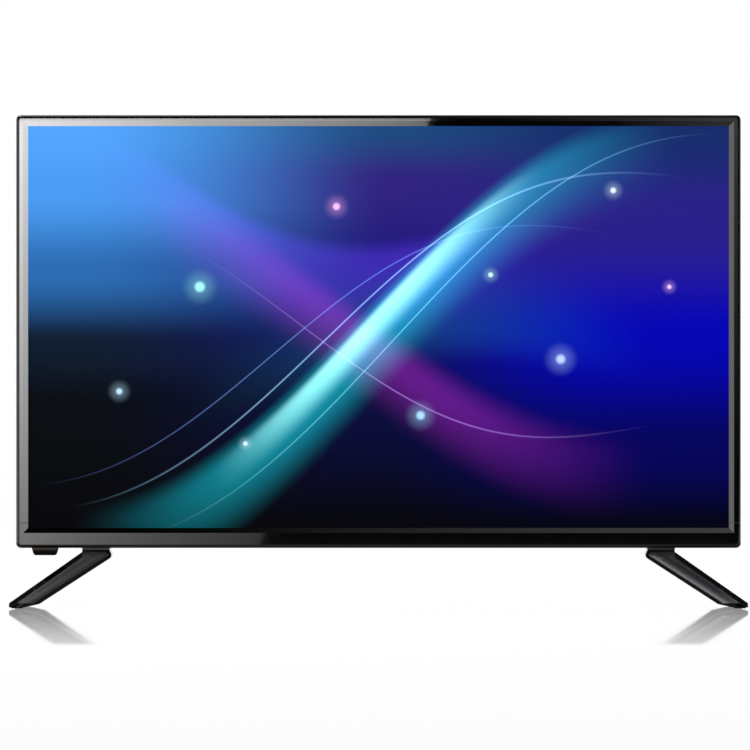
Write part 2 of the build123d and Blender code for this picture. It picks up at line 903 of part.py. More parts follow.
def main_board():
    return board(board_edge_x - board_width, board_edge_x, board_bottom_z, board_height)


def power_board():
    return board(-board_edge_x, board_width - board_edge_x, board_bottom_z, board_height)


def timing_board():
    return board(
        -timing_board_width / 2, timing_board_width / 2, case_lift + timing_board_lift, timing_board_height
    )


def board_screws():
    screws = []
    for x, z in board_screw_places():
        head = rod_y(board_screw_head_radius, board_back_y, board_back_y + board_screw_head_height, x, z)
        shank = rod_y(standoff_bore_radius, tray_back_y + seat_gap, board_back_y, x, z)
        screws.append(head + shank)
    return screws


def main_x(share):
    """A place on the main board, as a share of its width from its outer edge."""
    return board_edge_x - board_width * share


def power_x(share):
    """A place on the power board, as a share of its width from its outer edge."""
    return -main_x(share)


def on_board(place, width, height, rise, above=0):
    """A part that stands on a board: place is its middle in X and its lift over the case's underside."""
    x, z = place[0], case_lift + place[1]
    low = board_back_y + above
    return block(x - width / 2, x + width / 2, low, low + rise, z - height / 2, z + height / 2)


def main_board_chips():
    chips = [on_board((main_x(soc_share), soc_lift), soc_chip_size, soc_chip_size, soc_chip_thickness)]
    for share, lift, size in zip(chip_shares, chip_lifts, chip_sizes):
        chips.append(on_board((main_x(share), lift), *size, chip_thickness))
    return chips


def soc_heat_sink():
    x = main_x(soc_share)
    sink = on_board((x, soc_lift), soc_sink_size, soc_sink_size, soc_sink_base, soc_chip_thickness)
    pitch = (soc_sink_size - soc_sink_fin) / (soc_sink_fins - 1)
    for step in spread(soc_sink_fins, pitch):
        sink += on_board(
            (x + step, soc_lift), soc_sink_fin, soc_sink_size, soc_sink_height, soc_chip_thickness
        )
    return sink


def transformer():
    width, rise, height = transformer_size
    x, z = power_x(transformer_share), case_lift + transformer_lift
    body = on_board((x, transformer_lift), width, height, rise)
    reach = height / 2 + board_screw_inset
    return body + rod_z(coil_radius, z - reach, z + reach, x, board_back_y + rise / 2)


def filter_coil():
    x, z = power_x(filter_coil_share), case_lift + filter_coil_lift
    tip_y = board_back_y + filter_coil_thickness
    ring = rod_y(filter_coil_radius, board_back_y, tip_y, x, z)
    return ring - rod_y(filter_coil_hole, board_back_y - overrun, tip_y + overrun, x, z)


def power_coils():
    return [transformer(), filter_coil()]


def power_heat_sinks():
    """Two L-shaped plates that stand on the power board."""
    width, rise, thickness = power_sink_size
    x = power_x(power_sink_share)
    sinks = []
    for lift in power_sink_lifts:
        tab = on_board((x, lift + power_sink_tab / 2), width, power_sink_tab, thickness, rise)
        sinks.append(on_board((x, lift), width, thickness, rise) + tab)
    return sinks


def heat_sinks():
    return [soc_heat_sink(), *power_heat_sinks()]


def bulk_capacitor():
    x, z = power_x(capacitor_share), case_lift + capacitor_lift
    reach = capacitor_length / 2
    can = rod_z(capacitor_radius, z - reach, z + reach, x, board_back_y + capacitor_radius)
    return chamfer(can.edges().filter_by(GeomType.CIRCLE), capacitor_vent)


def source_board():
    """The narrow board on the lower flange of the tray that drives the glass."""
    low_z = opening_mid_z - stack_height / 2 + (tray_flange - source_board_height) / 2
    half = source_board_width / 2
    return block(
        -half, half, flange_back_y, flange_back_y + source_board_thickness, low_z, low_z + source_board_height
    )


def flat_leads():
    """The ribbon from source board to timing board, and the leads between the headers."""
    header_width, header_height, rise = header_size
    top_y = board_back_y + rise
    bottom_z = opening_mid_z - tray_floor_height / 2
    start_y = flange_back_y + source_board_thickness + ribbon_thickness / 2
    flange_z = opening_mid_z - tray_mouth_height / 2
    over = board_back_y + ribbon_thickness / 2
    board_z = case_lift + timing_board_lift
    path = Polyline(
        (start_y, flange_z - tray_flange / 2),
        (start_y, flange_z - ribbon_gap),
        (tray_back_y + ribbon_gap, bottom_z - ribbon_gap),
        (over, board_z - ribbon_gap),
        (over, board_z + header_height),
    )
    across = Plane(origin=(-ribbon_width / 2, 0, 0), x_dir=(0, 1, 0), z_dir=(1, 0, 0))
    ribbon = extrude(across * trace(path, ribbon_thickness), amount=ribbon_width)
    inner = board_edge_x - board_width + header_height
    middle = case_lift + header_lift
    half = header_width / 2
    power_lead = block(
        -inner, inner, top_y, top_y + lead_thickness, middle + half - lead_width, middle + half
    )
    low = middle - half
    signal_lead = block(-lead_width / 2, inner, top_y, top_y + lead_thickness, low, low + lead_width)
    end_z = board_z + timing_board_height - header_height
    signal_lead += block(
        -lead_width / 2, lead_width / 2, top_y, top_y + lead_thickness, end_z, low + lead_width
    )
    return [ribbon, power_lead, signal_lead]


def board_headers():
    """The white plug-in headers at the boards' facing edges."""
    width, height, rise = header_size
    inner = board_edge_x - board_width + height
    upright_header = (height, width, rise)
    headers = [on_board((side * inner, header_lift), *upright_header) for side in (-1, 1)]
    top = timing_board_lift + timing_board_height - height
    headers.append(on_board((0, top), width, height, rise))
    return headers


# Sockets on the main board

def ported_shell(z, width, height, depth, shell, tongue_width, tongue_thickness):
    """A flat socket that opens to the right: a metal shell round a tongue."""
    mouth_x = bay_wall_x + socket_proud
    low_y = board_back_y
    body = block(mouth_x - depth, mouth_x, low_y, low_y + height, z - width / 2, z + width / 2)
    inner = block(
        mouth_x - depth + shell, mouth_x + overrun, low_y + shell, low_y + height - shell,
        z - width / 2 + shell, z + width / 2 - shell,
    )
    middle_y = low_y + height / 2
    tongue = block(
        mouth_x - depth, mouth_x - socket_proud,
        middle_y - tongue_thickness / 2, middle_y + tongue_thickness / 2,
        z - tongue_width / 2, z + tongue_width / 2,
    )
    return body - inner + tongue


def hdmi_sockets():
    sizes = (hdmi_width, hdmi_height, hdmi_depth, hdmi_shell, hdmi_tongue_width, hdmi_tongue_thickness)
    return [ported_shell(case_lift + lift, *sizes) for lift in hdmi_lifts]


def usb_sockets():
    sizes = (usb_width, usb_height, usb_depth, usb_shell, usb_tongue_width, usb_tongue_thickness)
    return [ported_shell(case_lift + lift, *sizes) for lift in usb_lifts]


def phones_socket():
    mouth_x = bay_wall_x + socket_proud
    back_x = bay_inner_x - panel_thickness
    z = case_lift + phones_lift
    y = board_back_y + phones_body / 2
    half = phones_body / 2
    body = block(mouth_x - phones_depth, back_x, board_back_y, board_back_y + phones_body, z - half, z + half)
    body += rod_x(phones_nose_radius, back_x, mouth_x, y, z)
    return body - rod_x(phones_bore_radius, mouth_x - phones_bore_depth, mouth_x + overrun, y, z)


def side_terminal_panel():
    """The moulded plate behind the side window, cut to each socket."""
    low_y = board_back_y - socket_play
    plate = block(
        panel_inner_x, bay_inner_x, low_y, board_back_y + phones_body + window_margin + panel_margin,
        case_lift + hdmi_lifts[0] - hdmi_width / 2 - window_margin - panel_margin,
        case_lift + phones_lift + phones_body + panel_margin,
    )
    left, right = panel_inner_x - overrun, bay_inner_x + overrun
    for lifts, width, height in ((hdmi_lifts, hdmi_width, hdmi_height), (usb_lifts, usb_width, usb_height)):
        for lift in lifts:
            half = width / 2 + socket_play
            z = case_lift + lift
            plate -= block(
                left, right, low_y - overrun, board_back_y + height + socket_play, z - half, z + half
            )
    y = board_back_y + phones_body / 2
    return plate - rod_x(phones_nose_radius + socket_play, left, right, y, case_lift + phones_lift)


def av_places():
    return [av_first_x + index * av_pitch for index in range(av_count)]


def av_block():
    width = (av_count - 1) * av_pitch + 2 * (av_ring_radius + av_block_margin)
    middle = av_first_x + (av_count - 1) * av_pitch / 2
    place = (middle, recess_lift + recess_height / 2)
    return on_board(place, width, av_block_height, rear_panel_front_y - board_back_y)


def av_barrels():
    """The three plated phono barrels, each a tube round its insulator."""
    barrels = []
    for x in av_places():
        barrel = rod_y(
            av_barrel_radius, rear_panel_front_y, rear_panel_front_y + av_barrel_length, x, recess_mid_z
        )
        hollow_y = rear_panel_front_y + av_insulator_set
        end_y = rear_panel_front_y + av_barrel_length + overrun
        barrels.append(barrel - rod_y(av_insulator_radius, hollow_y, end_y, x, recess_mid_z))
    return barrels


def av_insulator(x):
    """The insulator in a barrel, with the bore for the plug's centre pin."""
    near = rear_panel_front_y + av_insulator_set
    far = rear_panel_front_y + av_barrel_length - av_insulator_set
    core = rod_y(av_insulator_radius, near, far, x, recess_mid_z)
    return core - rod_y(av_bore_radius, far - av_bore_depth, far + overrun, x, recess_mid_z)


def av_ring(x):
    """The coloured ring round a barrel, in the recess floor."""
    near = recess_inner_y
    far = recess_floor_y + av_ring_thickness
    ring = rod_y(av_ring_radius, near, far, x, recess_mid_z)
    return ring - rod_y(av_barrel_radius + pad_play, near - overrun, far + overrun, x, recess_mid_z)


def av_colour(index):
    """The two pieces of one phono socket that share its colour."""
    x = av_places()[index]
    return [av_insulator(x), av_ring(x)]


def aerial_socket():
    """A screw-on aerial socket on its screened tuner can."""
    place = (aerial_x, recess_lift + recess_height / 2)
    body = on_board(place, aerial_can_width, aerial_can_height, rear_panel_front_y - board_back_y)
    nut_y = recess_inner_y
    hexagon = RegularPolygon(aerial_hex_radius, 6)
    body += upright(
        hexagon, rear_panel_front_y, nut_y + cover_wall + aerial_hex_thickness, aerial_x, recess_mid_z
    )
    tip_y = nut_y + cover_wall + aerial_hex_thickness + aerial_barrel_length
    body += rod_y(aerial_barrel_radius, nut_y, tip_y, aerial_x, recess_mid_z)
    return body - rod_y(
        aerial_bore_radius, tip_y - aerial_bore_depth, tip_y + overrun, aerial_x, recess_mid_z
    )


def vga_outline(shrink):
    """The D-shaped outline of the fifteen-pin shell."""
    width = vga_shell_width - 2 * shrink
    height = vga_shell_height - 2 * shrink
    outline = Trapezoid(width, height, vga_shell_angle)
    return fillet(outline.vertices(), vga_nut_radius / 2)


def vga_socket():
    place = (vga_x, recess_lift + recess_height / 2)
    body = on_board(place, vga_plate_width, vga_plate_height, rear_panel_front_y - board_back_y)
    plate_y = rear_panel_front_y
    corner = vga_nut_radius - socket_play
    body += rounded_plate(
        vga_plate_width, vga_plate_height, corner, plate_y, recess_floor_y, x=vga_x, z=recess_mid_z
    )
    tip_y = recess_floor_y + vga_shell_rise
    body += upright(vga_outline(0), recess_floor_y, tip_y, vga_x, recess_mid_z)
    body -= upright(vga_outline(vga_shell_wall), recess_floor_y, tip_y + overrun, vga_x, recess_mid_z)
    nut = RegularPolygon(vga_nut_radius, 6)
    for x in spread(2, vga_nut_spacing):
        body += upright(nut, recess_floor_y, recess_floor_y + vga_nut_rise, vga_x + x, recess_mid_z)
    return body


def rear_terminal_panel():
    """The plate behind the recess floor, cut to each socket."""
    middle = recess_right_x - recess_width / 2
    plate = rounded_plate(
        recess_width, recess_height, recess_corner,
        rear_panel_front_y, recess_inner_y, x=middle, z=recess_mid_z
    )
    through = (rear_panel_front_y - overrun, recess_inner_y + overrun)
    for x in av_places():
        plate -= rod_y(av_barrel_radius + socket_play, *through, x, recess_mid_z)
    plate -= rod_y(aerial_hex_radius + socket_play, *through, aerial_x, recess_mid_z)
    hole = Rectangle(vga_plate_width + 2 * socket_play, vga_plate_height + 2 * socket_play)
    return plate - upright(hole, *through, vga_x, recess_mid_z)


def terminal_panels():
    return [side_terminal_panel(), rear_terminal_panel()]


# Mains inlet on the power board

def inlet_middle():
    return -bay_wall_x - socket_proud, board_back_y + inlet_height / 2, case_lift + inlet_lift


def mains_inlet():
    """The two-pin inlet's body, open to the left."""
    mouth_x, y, z = inlet_middle()
    body = block(
        mouth_x, mouth_x + inlet_depth, board_back_y, board_back_y + inlet_height,
        z - inlet_width / 2, z + inlet_width / 2,
    )
    plane = Plane(origin=(mouth_x - overrun, y, z), x_dir=(0, 1, 0), z_dir=(1, 0, 0))
    mouth = RectangleRounded(inlet_mouth_height, inlet_mouth_width, inlet_mouth_round)
    body -= extrude(plane * mouth, amount=inlet_mouth_depth + overrun)
    for pin in inlet_pins():
        body -= pin
    return body


def inlet_pins():
    mouth_x, y, z = inlet_middle()
    tip_x = mouth_x + inlet_mouth_depth - inlet_pin_length
    root_x = mouth_x + inlet_mouth_depth + inlet_pin_length / 2
    return [rod_x(inlet_pin_radius, tip_x, root_x, y, z + step) for step in spread(2, inlet_pin_pitch)]


# Speakers

def speaker_middle():
    low_z = cover_bottom_z + cover_wall + speaker_ring
    return speaker_inner_x + speaker_length / 2, speaker_front_y + speaker_depth / 2, low_z


def speaker_box():
    """The right speaker's sealed box, with the opening that its driver fills."""
    x, y, z = speaker_middle()
    plane = Plane((x, y, z))
    body = extrude(
        plane * RectangleRounded(speaker_length, speaker_depth, speaker_round), amount=speaker_height
    )
    hollow = Rectangle(speaker_length - 2 * speaker_wall, speaker_depth - 2 * speaker_wall)
    body -= extrude(Plane((x, y, z + speaker_wall)) * hollow, amount=speaker_height - 2 * speaker_wall)
    mouth = SlotOverall(speaker_cone_length, speaker_cone_width)
    return body - extrude(Plane((x, y, z - overrun)) * mouth, amount=speaker_wall + 2 * overrun)


def speaker_driver():
    """The right driver: an oval basket with its dished cone, and the magnet behind it."""
    x, y, z = speaker_middle()
    plane = Plane((x, y, z))
    body = extrude(plane * SlotOverall(speaker_cone_length, speaker_cone_width), amount=speaker_wall)
    rim = 2 * (speaker_ring + speaker_dish)
    wide = SlotOverall(speaker_cone_length - 2 * speaker_ring, speaker_cone_width - 2 * speaker_ring)
    narrow = SlotOverall(speaker_cone_length - 2 * rim, speaker_cone_width - 2 * rim)
    body -= loft([plane * wide, Plane((x, y, z + speaker_dish)) * narrow], ruled=True)
    return body + rod_z(
        speaker_magnet_radius, z + speaker_wall, z + speaker_wall + speaker_magnet_height, x, y
    )


def speaker_gasket():
    """The foam ring between the right speaker and the cover's grille."""
    x, y, z = speaker_middle()
    plane = Plane((x, y, z - speaker_ring))
    outer = RectangleRounded(speaker_cone_length + 2 * gasket_width, speaker_depth, speaker_round)
    inner = SlotOverall(speaker_cone_length, speaker_cone_width)
    return extrude(plane * (outer - inner), amount=speaker_ring)


# Keys

def key_board():
    heights = key_places()
    low, high = min(heights) - key_board_end, max(heights) + key_board_end
    half = key_board_width / 2
    return block(
        key_board_x, key_board_x + key_board_thickness, key_mid_y - half, key_mid_y + half, low, high
    )


def tact_switches():
    face = key_board_x + key_board_thickness
    half = tact_size / 2
    switches = []
    for z in key_places():
        body = block(face, face + tact_height, key_mid_y - half, key_mid_y + half, z - half, z + half)
        switches.append(
            body + rod_x(tact_plunger_radius, tact_top_x, tact_top_x + tact_plunger_height, key_mid_y, z)
        )
    return switches


def key_carrier():
    """The moulded guide between the key board and the cover's edge."""
    heights = key_places()
    low, high = min(heights) - key_board_end, max(heights) + key_board_end
    half = key_board_width / 2
    face = key_wall_inner_x - key_flange_gap - key_flange_thickness - key_travel - seat_gap
    body = block(face - carrier_thickness, face, key_mid_y - half, key_mid_y + half, low, high)
    for z in (low, high - carrier_foot):
        body += block(
            key_board_x + key_board_thickness, key_wall_inner_x,
            key_mid_y - half, key_mid_y + half, z, z + carrier_foot
        )
    for z in heights:
        body -= rod_x(
            key_stem_radius + seat_gap, face - carrier_thickness - overrun, face + overrun, key_mid_y, z
        )
    return body


def key_cap(z):
    """One key: its cap through the edge, a flange that keeps it in, and the stem to its switch."""
    cap_low = key_wall_inner_x - key_flange_gap - key_flange_thickness
    plane = Plane(origin=(cap_low, key_mid_y, z), x_dir=(0, 1, 0), z_dir=(1, 0, 0))
    body = extrude(
        plane * RectangleRounded(key_width + 2 * key_flange, key_length + 2 * key_flange, key_round),
        amount=key_flange_thickness,
    )
    tip = cover_half + key_proud
    cap = extrude(plane * RectangleRounded(key_width, key_length, key_round), amount=tip - cap_low)
    cap = chamfer(cap.faces().sort_by(Axis.X)[-1].edges(), key_proud / 2)
    stem_low = tact_top_x + tact_plunger_height + key_travel + seat_gap
    return body + cap + rod_x(key_stem_radius, stem_low, cap_low, key_mid_y, z)


# Infra-red receiver pod

def ir_pod():
    """The smoked window: a tapered cup under the case, with a neck up through the bezel."""
    foot_z = case_lift - pod_drop
    top = Plane((pod_mid_x, pod_mid_y, case_lift)) * RectangleRounded(pod_width, pod_depth, pod_round)
    foot_end = Plane((pod_mid_x, pod_mid_y, foot_z)) * RectangleRounded(
        pod_foot_width, pod_foot_depth, pod_round
    )
    body = loft([foot_end, top], ruled=True)
    body = chamfer(body.faces().sort_by(Axis.Z)[0].edges(), pod_wall)
    neck = Plane((pod_mid_x, pod_mid_y, case_lift)) * pod_window(0)
    body += extrude(neck, amount=pod_neck_top_z - case_lift)
    hollow = Plane((pod_mid_x, pod_mid_y, foot_z + pod_wall)) * pod_window(-pod_wall)
    return body - extrude(hollow, amount=pod_neck_top_z - foot_z)


def ir_board():
    """The receiver's small board, on top of the pod's neck."""
    half_width, half_depth = ir_board_width / 2, pod_neck_depth / 2
    top = pod_neck_top_z + ir_board_thickness
    left, right = pod_mid_x - half_width, pod_mid_x + half_width
    return block(left, right, pod_mid_y - half_depth, pod_mid_y + half_depth, pod_neck_top_z, top)


def ir_receiver():
    """The receiver that hangs in the pod, with a small dome towards the viewer."""
    width, depth, height = ir_receiver_size
    x = pod_mid_x + ir_receiver_x
    low_z = pod_neck_top_z - height
    front = pod_mid_y - depth / 2
    body = block(x - width / 2, x + width / 2, front, front + depth, low_z, pod_neck_top_z)
    dome = Pos(x, front, pod_neck_top_z - height / 2) * Sphere(ir_dome_radius)
    near = front - ir_dome_radius * ir_dome_share
    return body + (dome & block(x - width, x + width, near, front + depth / 2, low_z, pod_neck_top_z))


def status_led():
    """The round-tipped standby lamp that hangs in the pod."""
    low_z = pod_neck_top_z - status_led_length
    bulb = rod_z(status_led_radius, low_z, pod_neck_top_z, pod_mid_x + status_led_x, pod_mid_y)
    return chamfer(bulb.faces().sort_by(Axis.Z)[0].edges(), status_led_radius * status_led_round_share)


# Feet

def foot_front_outline():
    """The right foot seen from the front: a bar that leans outwards, with a round inner corner."""
    toe_x = case_half - foot_toe_inset
    inner_corner = (case_half - foot_inner_corner_inset, foot_top_z - foot_inner_corner_drop)
    points = [
        (case_half - foot_inner_inset, foot_top_z),
        inner_corner,
        (case_half - foot_inner_foot_inset, pad_proud + foot_inner_foot_rise),
        (case_half - foot_heel_inset, pad_proud),
        (toe_x, pad_proud),
        (toe_x, pad_proud + foot_toe_rise),
        (case_half - foot_outer_inset, foot_top_z - foot_outer_straight),
        (case_half - foot_outer_inset, foot_top_z),
    ]
    outline = Polygon(*points, align=None)
    corner = outline.vertices().sort_by_distance((*inner_corner, 0))[0]
    return fillet(corner, foot_corner_round)


def foot_side_outline():
    """The foot seen from the side: two arms that spread from the hub to the toes."""
    toe = foot_depth / 2
    points = [
        (foot_hub_front_y, foot_top_z),
        (-toe, pad_proud + foot_toe_rise),
        (-toe, pad_proud),
        (foot_toe_length - toe, pad_proud),
        (foot_crotch_front_y, foot_crotch_z),
        (foot_crotch_back_y, foot_crotch_z),
        (toe - foot_toe_length, pad_proud),
        (toe, pad_proud),
        (toe, pad_proud + foot_toe_rise),
        (foot_hub_back_y, foot_top_z),
    ]
    return Polygon(*points, align=None)


def spigot(clearance, z_low, z_high):
    """The block on the foot that goes up through the cover, or the opening for it."""
    width = foot_spigot_width + 2 * clearance
    depth = foot_spigot_depth + 2 * clearance
    outline = RectangleRounded(width, depth, foot_spigot_round + clearance)
    return extrude(Plane((foot_screw_x, foot_spigot_mid_y, z_low)) * outline, amount=z_high - z_low)


def pad_places():
    """Middle heights in depth of the two pads under one foot."""
    reach = foot_depth / 2 - pad_toe_gap - pad_length / 2
    return (-reach, reach)


def pad(clearance, y):
    """One rubber pad under the right foot, or the recess for it."""
    low_x = case_half - foot_heel_inset + pad_side_gap - clearance
    high_x = case_half - foot_toe_inset - pad_side_gap + clearance
    outline = RectangleRounded(high_x - low_x, pad_length + 2 * clearance, pad_round + clearance)
    return extrude(Plane(((low_x + high_x) / 2, y, 0)) * outline, amount=pad_proud + pad_recess)


def slope_edges(body):
    """The long edges of the two slopes of the right foot, the two lower ones first."""
    slopes = [
        face for face in body.faces()
        if face.normal_at().Z > 0 and abs(face.normal_at().Y) > foot_slope_share
    ]
    edges = [edge for face in slopes for edge in face.edges() if edge.length > foot_long_edge]
    return ShapeList(edges).sort_by(Axis.X)


def foot():
    """The right foot: where its front outline meets its side outline, with a spigot on top."""
    front = extrude(facing(-foot_depth / 2) * foot_front_outline(), amount=-foot_depth)
    across = Plane(origin=(0, 0, 0), x_dir=(0, 1, 0), z_dir=(1, 0, 0))
    body = front & extrude(across * foot_side_outline(), amount=case_width)
    body = chamfer(slope_edges(body)[2:], foot_upper_bevel)
    body = chamfer(slope_edges(body)[:2], foot_lower_bevel)
    body += spigot(0, foot_top_z - foot_spigot_root, cover_inner_z)
    seat_z = cover_inner_z - foot_screw_grip
    for y in foot_screw_y:
        body -= rod_z(
            foot_screw_radius + foot_screw_play, seat_z - overrun, cover_inner_z + overrun, foot_screw_x, y
        )
        body -= rod_z(foot_screw_head_radius + foot_screw_play, 0, seat_z, foot_screw_x, y)
    for y in pad_places():
        body -= pad(pad_play, y)
    return body


def foot_collar():
    """The grey seat between the right foot and the case, stepped where the cover lies higher."""
    left, right = case_half - foot_inner_inset, case_half - foot_outer_inset
    front, back = foot_collar_front_y, foot_collar_back_y
    body = block(left, right, front, bezel_back_y, foot_top_z, case_lift)
    body += block(left, right, bezel_back_y + cover_play, back, foot_top_z, cover_bottom_z)
    body += block(left, right, front, back, foot_top_z, case_lift)
    return body - spigot(seat_gap, foot_top_z - overrun, cover_bottom_z + overrun)


def foot_bracket():
    """The right steel bracket: a base on the cover's floor, an upright on the tray, gussets and weld nuts."""
    left, right = foot_screw_x - bracket_width / 2, foot_screw_x + bracket_width / 2
    top_z = cover_inner_z + bracket_sheet
    body = block(left, right, bracket_front_y, bracket_back_y, cover_inner_z, top_z)
    body += block(
        left, right, tray_back_y, tray_back_y + bracket_sheet, cover_inner_z, cover_inner_z + bracket_rise
    )
    gusset_outline = Polygon(
        (bracket_front_y, top_z),
        (bracket_back_y, top_z),
        (tray_back_y + bracket_sheet, top_z + bracket_gusset_rise),
        (tray_back_y, top_z + bracket_gusset_rise),
        align=None,
    )
    for x in (left, right - bracket_sheet):
        across = Plane(origin=(x, 0, 0), x_dir=(0, 1, 0), z_dir=(1, 0, 0))
        body += extrude(across * gusset_outline, amount=bracket_sheet)
    nut_top = top_z + foot_screw_nut_height
    for y in foot_screw_y:
        body += rod_z(foot_screw_nut_radius, top_z, nut_top, foot_screw_x, y)
        body -= rod_z(
            foot_screw_radius + cover_screw_hole_play, cover_inner_z, nut_top + overrun, foot_screw_x, y
        )
    return body


def foot_screws():
    seat_z = cover_inner_z - foot_screw_grip
    tip_z = cover_inner_z + bracket_sheet + foot_screw_nut_height
    screws = []
    for y in foot_screw_y:
        head = rod_z(foot_screw_head_radius, seat_z - foot_screw_head_height, seat_z, foot_screw_x, y)
        screws += pair(head + rod_z(foot_screw_radius, seat_z, tip_z, foot_screw_x, y))
    return screws


def both_sides(make):
    """A right-hand piece and its mirror image on the left."""
    return lambda: pair(make())


def one_key(index):
    return lambda: key_cap(key_places()[index])


PARTS = {
    "front_bezel": front_bezel,
    "lcd_cell": lcd_cell,
    "middle_frame": middle_frame,
    "optical_sheets": optical_sheets,
    "diffuser_plate": diffuser_plate,
    "reflector_sheet": reflector_sheet,
    "led_bars": led_bars,
    "led_lenses": led_lenses,
    "diffuser_posts": diffuser_posts,
    "back_tray": back_tray,
    "source_board": source_board,
    "timing_board": timing_board,
    "flat_leads": flat_leads,
    "main_board": main_board,
    "main_board_chips": main_board_chips,
    "board_headers": board_headers,
    "hdmi_sockets": hdmi_sockets,
    "usb_sockets": usb_sockets,
    "phones_socket": phones_socket,
    "av_block": av_block,
    "av_barrels": av_barrels,
    "av_yellow": lambda: av_colour(0),
    "av_white": lambda: av_colour(1),
    "av_red": lambda: av_colour(2),
    "aerial_socket": aerial_socket,
    "vga_socket": vga_socket,
    "terminal_panels": terminal_panels,
    "power_board": power_board,
    "power_coils": power_coils,
    "bulk_capacitor": bulk_capacitor,
    "heat_sinks": heat_sinks,
    "mains_inlet": mains_inlet,
    "inlet_pins": inlet_pins,
    "speaker_boxes": both_sides(speaker_box),
    "speaker_drivers": both_sides(speaker_driver),
    "speaker_gaskets": both_sides(speaker_gasket),
    "key_board": key_board,
    "tact_switches": tact_switches,
    "key_carrier": key_carrier,
    "ir_pod": ir_pod,
    "ir_board": ir_board,
    "ir_receiver": ir_receiver,
    "status_led": status_led,
    "rear_cover": rear_cover,
    "vesa_posts": vesa_posts,
    "foot_right": foot,
    "foot_left": lambda: mirrored(foot()),
    "foot_collars": both_sides(foot_collar),
    "foot_pads": lambda: [piece for y in pad_places() for piece in pair(pad(0, y))],
    "foot_brackets": both_sides(foot_bracket),
    "foot_screws": foot_screws,
    "cover_screws": cover_screws,
    "board_screws": board_screws,
}
PARTS.update({f"key_{key_name}": one_key(index) for index, key_name in enumerate(key_names)})

os.makedirs("parts", exist_ok=True)
for name, make in PARTS.items():
    made = make()
    if isinstance(made, list):
        made = Compound(children=made)
    export_step(made, f"parts/{name}.step")
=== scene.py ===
import math

import bmesh
import bpy
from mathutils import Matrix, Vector


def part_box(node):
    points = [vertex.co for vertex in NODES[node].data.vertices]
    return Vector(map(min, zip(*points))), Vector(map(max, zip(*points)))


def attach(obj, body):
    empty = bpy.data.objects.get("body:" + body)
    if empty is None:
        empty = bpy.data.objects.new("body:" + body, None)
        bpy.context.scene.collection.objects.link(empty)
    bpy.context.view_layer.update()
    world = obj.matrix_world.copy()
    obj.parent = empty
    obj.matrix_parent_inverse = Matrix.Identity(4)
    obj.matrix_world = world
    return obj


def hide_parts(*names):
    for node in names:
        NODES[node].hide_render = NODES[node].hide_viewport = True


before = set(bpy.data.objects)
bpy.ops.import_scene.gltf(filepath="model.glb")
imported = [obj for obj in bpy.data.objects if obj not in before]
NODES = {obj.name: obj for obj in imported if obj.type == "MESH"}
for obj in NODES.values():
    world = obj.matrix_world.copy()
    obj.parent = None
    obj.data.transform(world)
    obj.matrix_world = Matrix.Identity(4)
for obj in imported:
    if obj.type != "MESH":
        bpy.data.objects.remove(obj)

bl_info = {
    "name": "Flat screen television",
    "version": (1, 1, 0),
    "blender": (4, 5, 0),
    "location": "View3D > Sidebar > Television",
    "description": "Dresses the packed television: finishes, screen picture, screws, sockets and studio",
    "category": "Object",
}

MM = 0.001
FULL_TURN = 2 * math.pi
MATHS = "ShaderNodeMath"
VECTORS = "ShaderNodeVectorMath"

# The lit area of the screen, as its bezel leaves it, in metres
PICTURE_LEFT = -0.3505
PICTURE_WIDTH = 0.701
PICTURE_FOOT = 0.079
PICTURE_HEIGHT = 0.402
# The middle of the hairline joint across the side borders of the front
JOINT_HEIGHT = 84.2 * MM
# How much the grained slopes of the feet face front or back, and up
FOOT_SLOPE = (0.59, 0.81)
# How nearly a face has to lie along a slope to be grained, as a cosine
ON_SLOPE = 0.985
# The direction across a foot's lower edge, seen from the front, and where along it the grain starts
FOOT_LOWER_EDGE = (0.543, 0.0, 0.840)
FOOT_GRAIN_FROM = 0.1904
# Where along it the slope is highest, how far the crown reaches to both sides, and how much it bends
FOOT_CROWN = 0.1956
FOOT_CROWN_ENDS = (-5.2 * MM, 3.5 * MM)
FOOT_CROWN_BEND = 55.0


# Colours and node trees

def paint(code):
    """An sRGB hex colour as the linear colour that Blender's sockets take."""
    channels = [int(code[place:place + 2], 16) / 255 for place in (1, 3, 5)]
    linear = [c / 12.92 if c <= 0.04045 else ((c + 0.055) / 1.055) ** 2.4 for c in channels]
    return (*linear, 1.0)


def add_node(tree, kind, inputs=(), stops=(), **settings):
    """Adds a node. inputs are values, nodes or sockets, by name or in order. stops fills a colour ramp."""
    node = tree.nodes.new(kind)
    for name, value in settings.items():
        setattr(node, name, value)
    for key, value in inputs.items() if isinstance(inputs, dict) else enumerate(inputs):
        if isinstance(value, bpy.types.Node):
            value = value.outputs[0]
        if isinstance(value, bpy.types.NodeSocket):
            tree.links.new(value, node.inputs[key])
        else:
            node.inputs[key].default_value = value
    for index, (place, colour) in enumerate(stops):
        elements = node.color_ramp.elements
        element = elements[index] if index < 2 else elements.new(place)
        element.position = place
        element.color = colour
    return node


def new_material(name):
    """A material with an empty node tree."""
    material = bpy.data.materials.new(name)
    material.use_nodes = True
    material.node_tree.nodes.clear()
    return material, material.node_tree


def finish_material(material, kind, inputs):
    """Gives a material its shader."""
    shader = add_node(material.node_tree, kind, inputs)
    add_node(material.node_tree, "ShaderNodeOutputMaterial", {"Surface": shader})
    return material


def place_on(tree):
    """The socket of a point's place on the object, in metres."""
    return add_node(tree, "ShaderNodeTexCoord").outputs["Object"]


def wander(tree, size, low=0.0, high=1.0, detail=2.0, stretch=(1, 1, 1)):
    """A number that wanders between low and high, over lumps about size metres across."""
    place = add_node(tree, "ShaderNodeMapping", {"Vector": place_on(tree), "Scale": stretch})
    lumps = add_node(tree, "ShaderNodeTexNoise", {"Vector": place, "Scale": 1 / size, "Detail": detail})
    return add_node(tree, "ShaderNodeMapRange", (lumps, 0.3, 0.7, low, high))


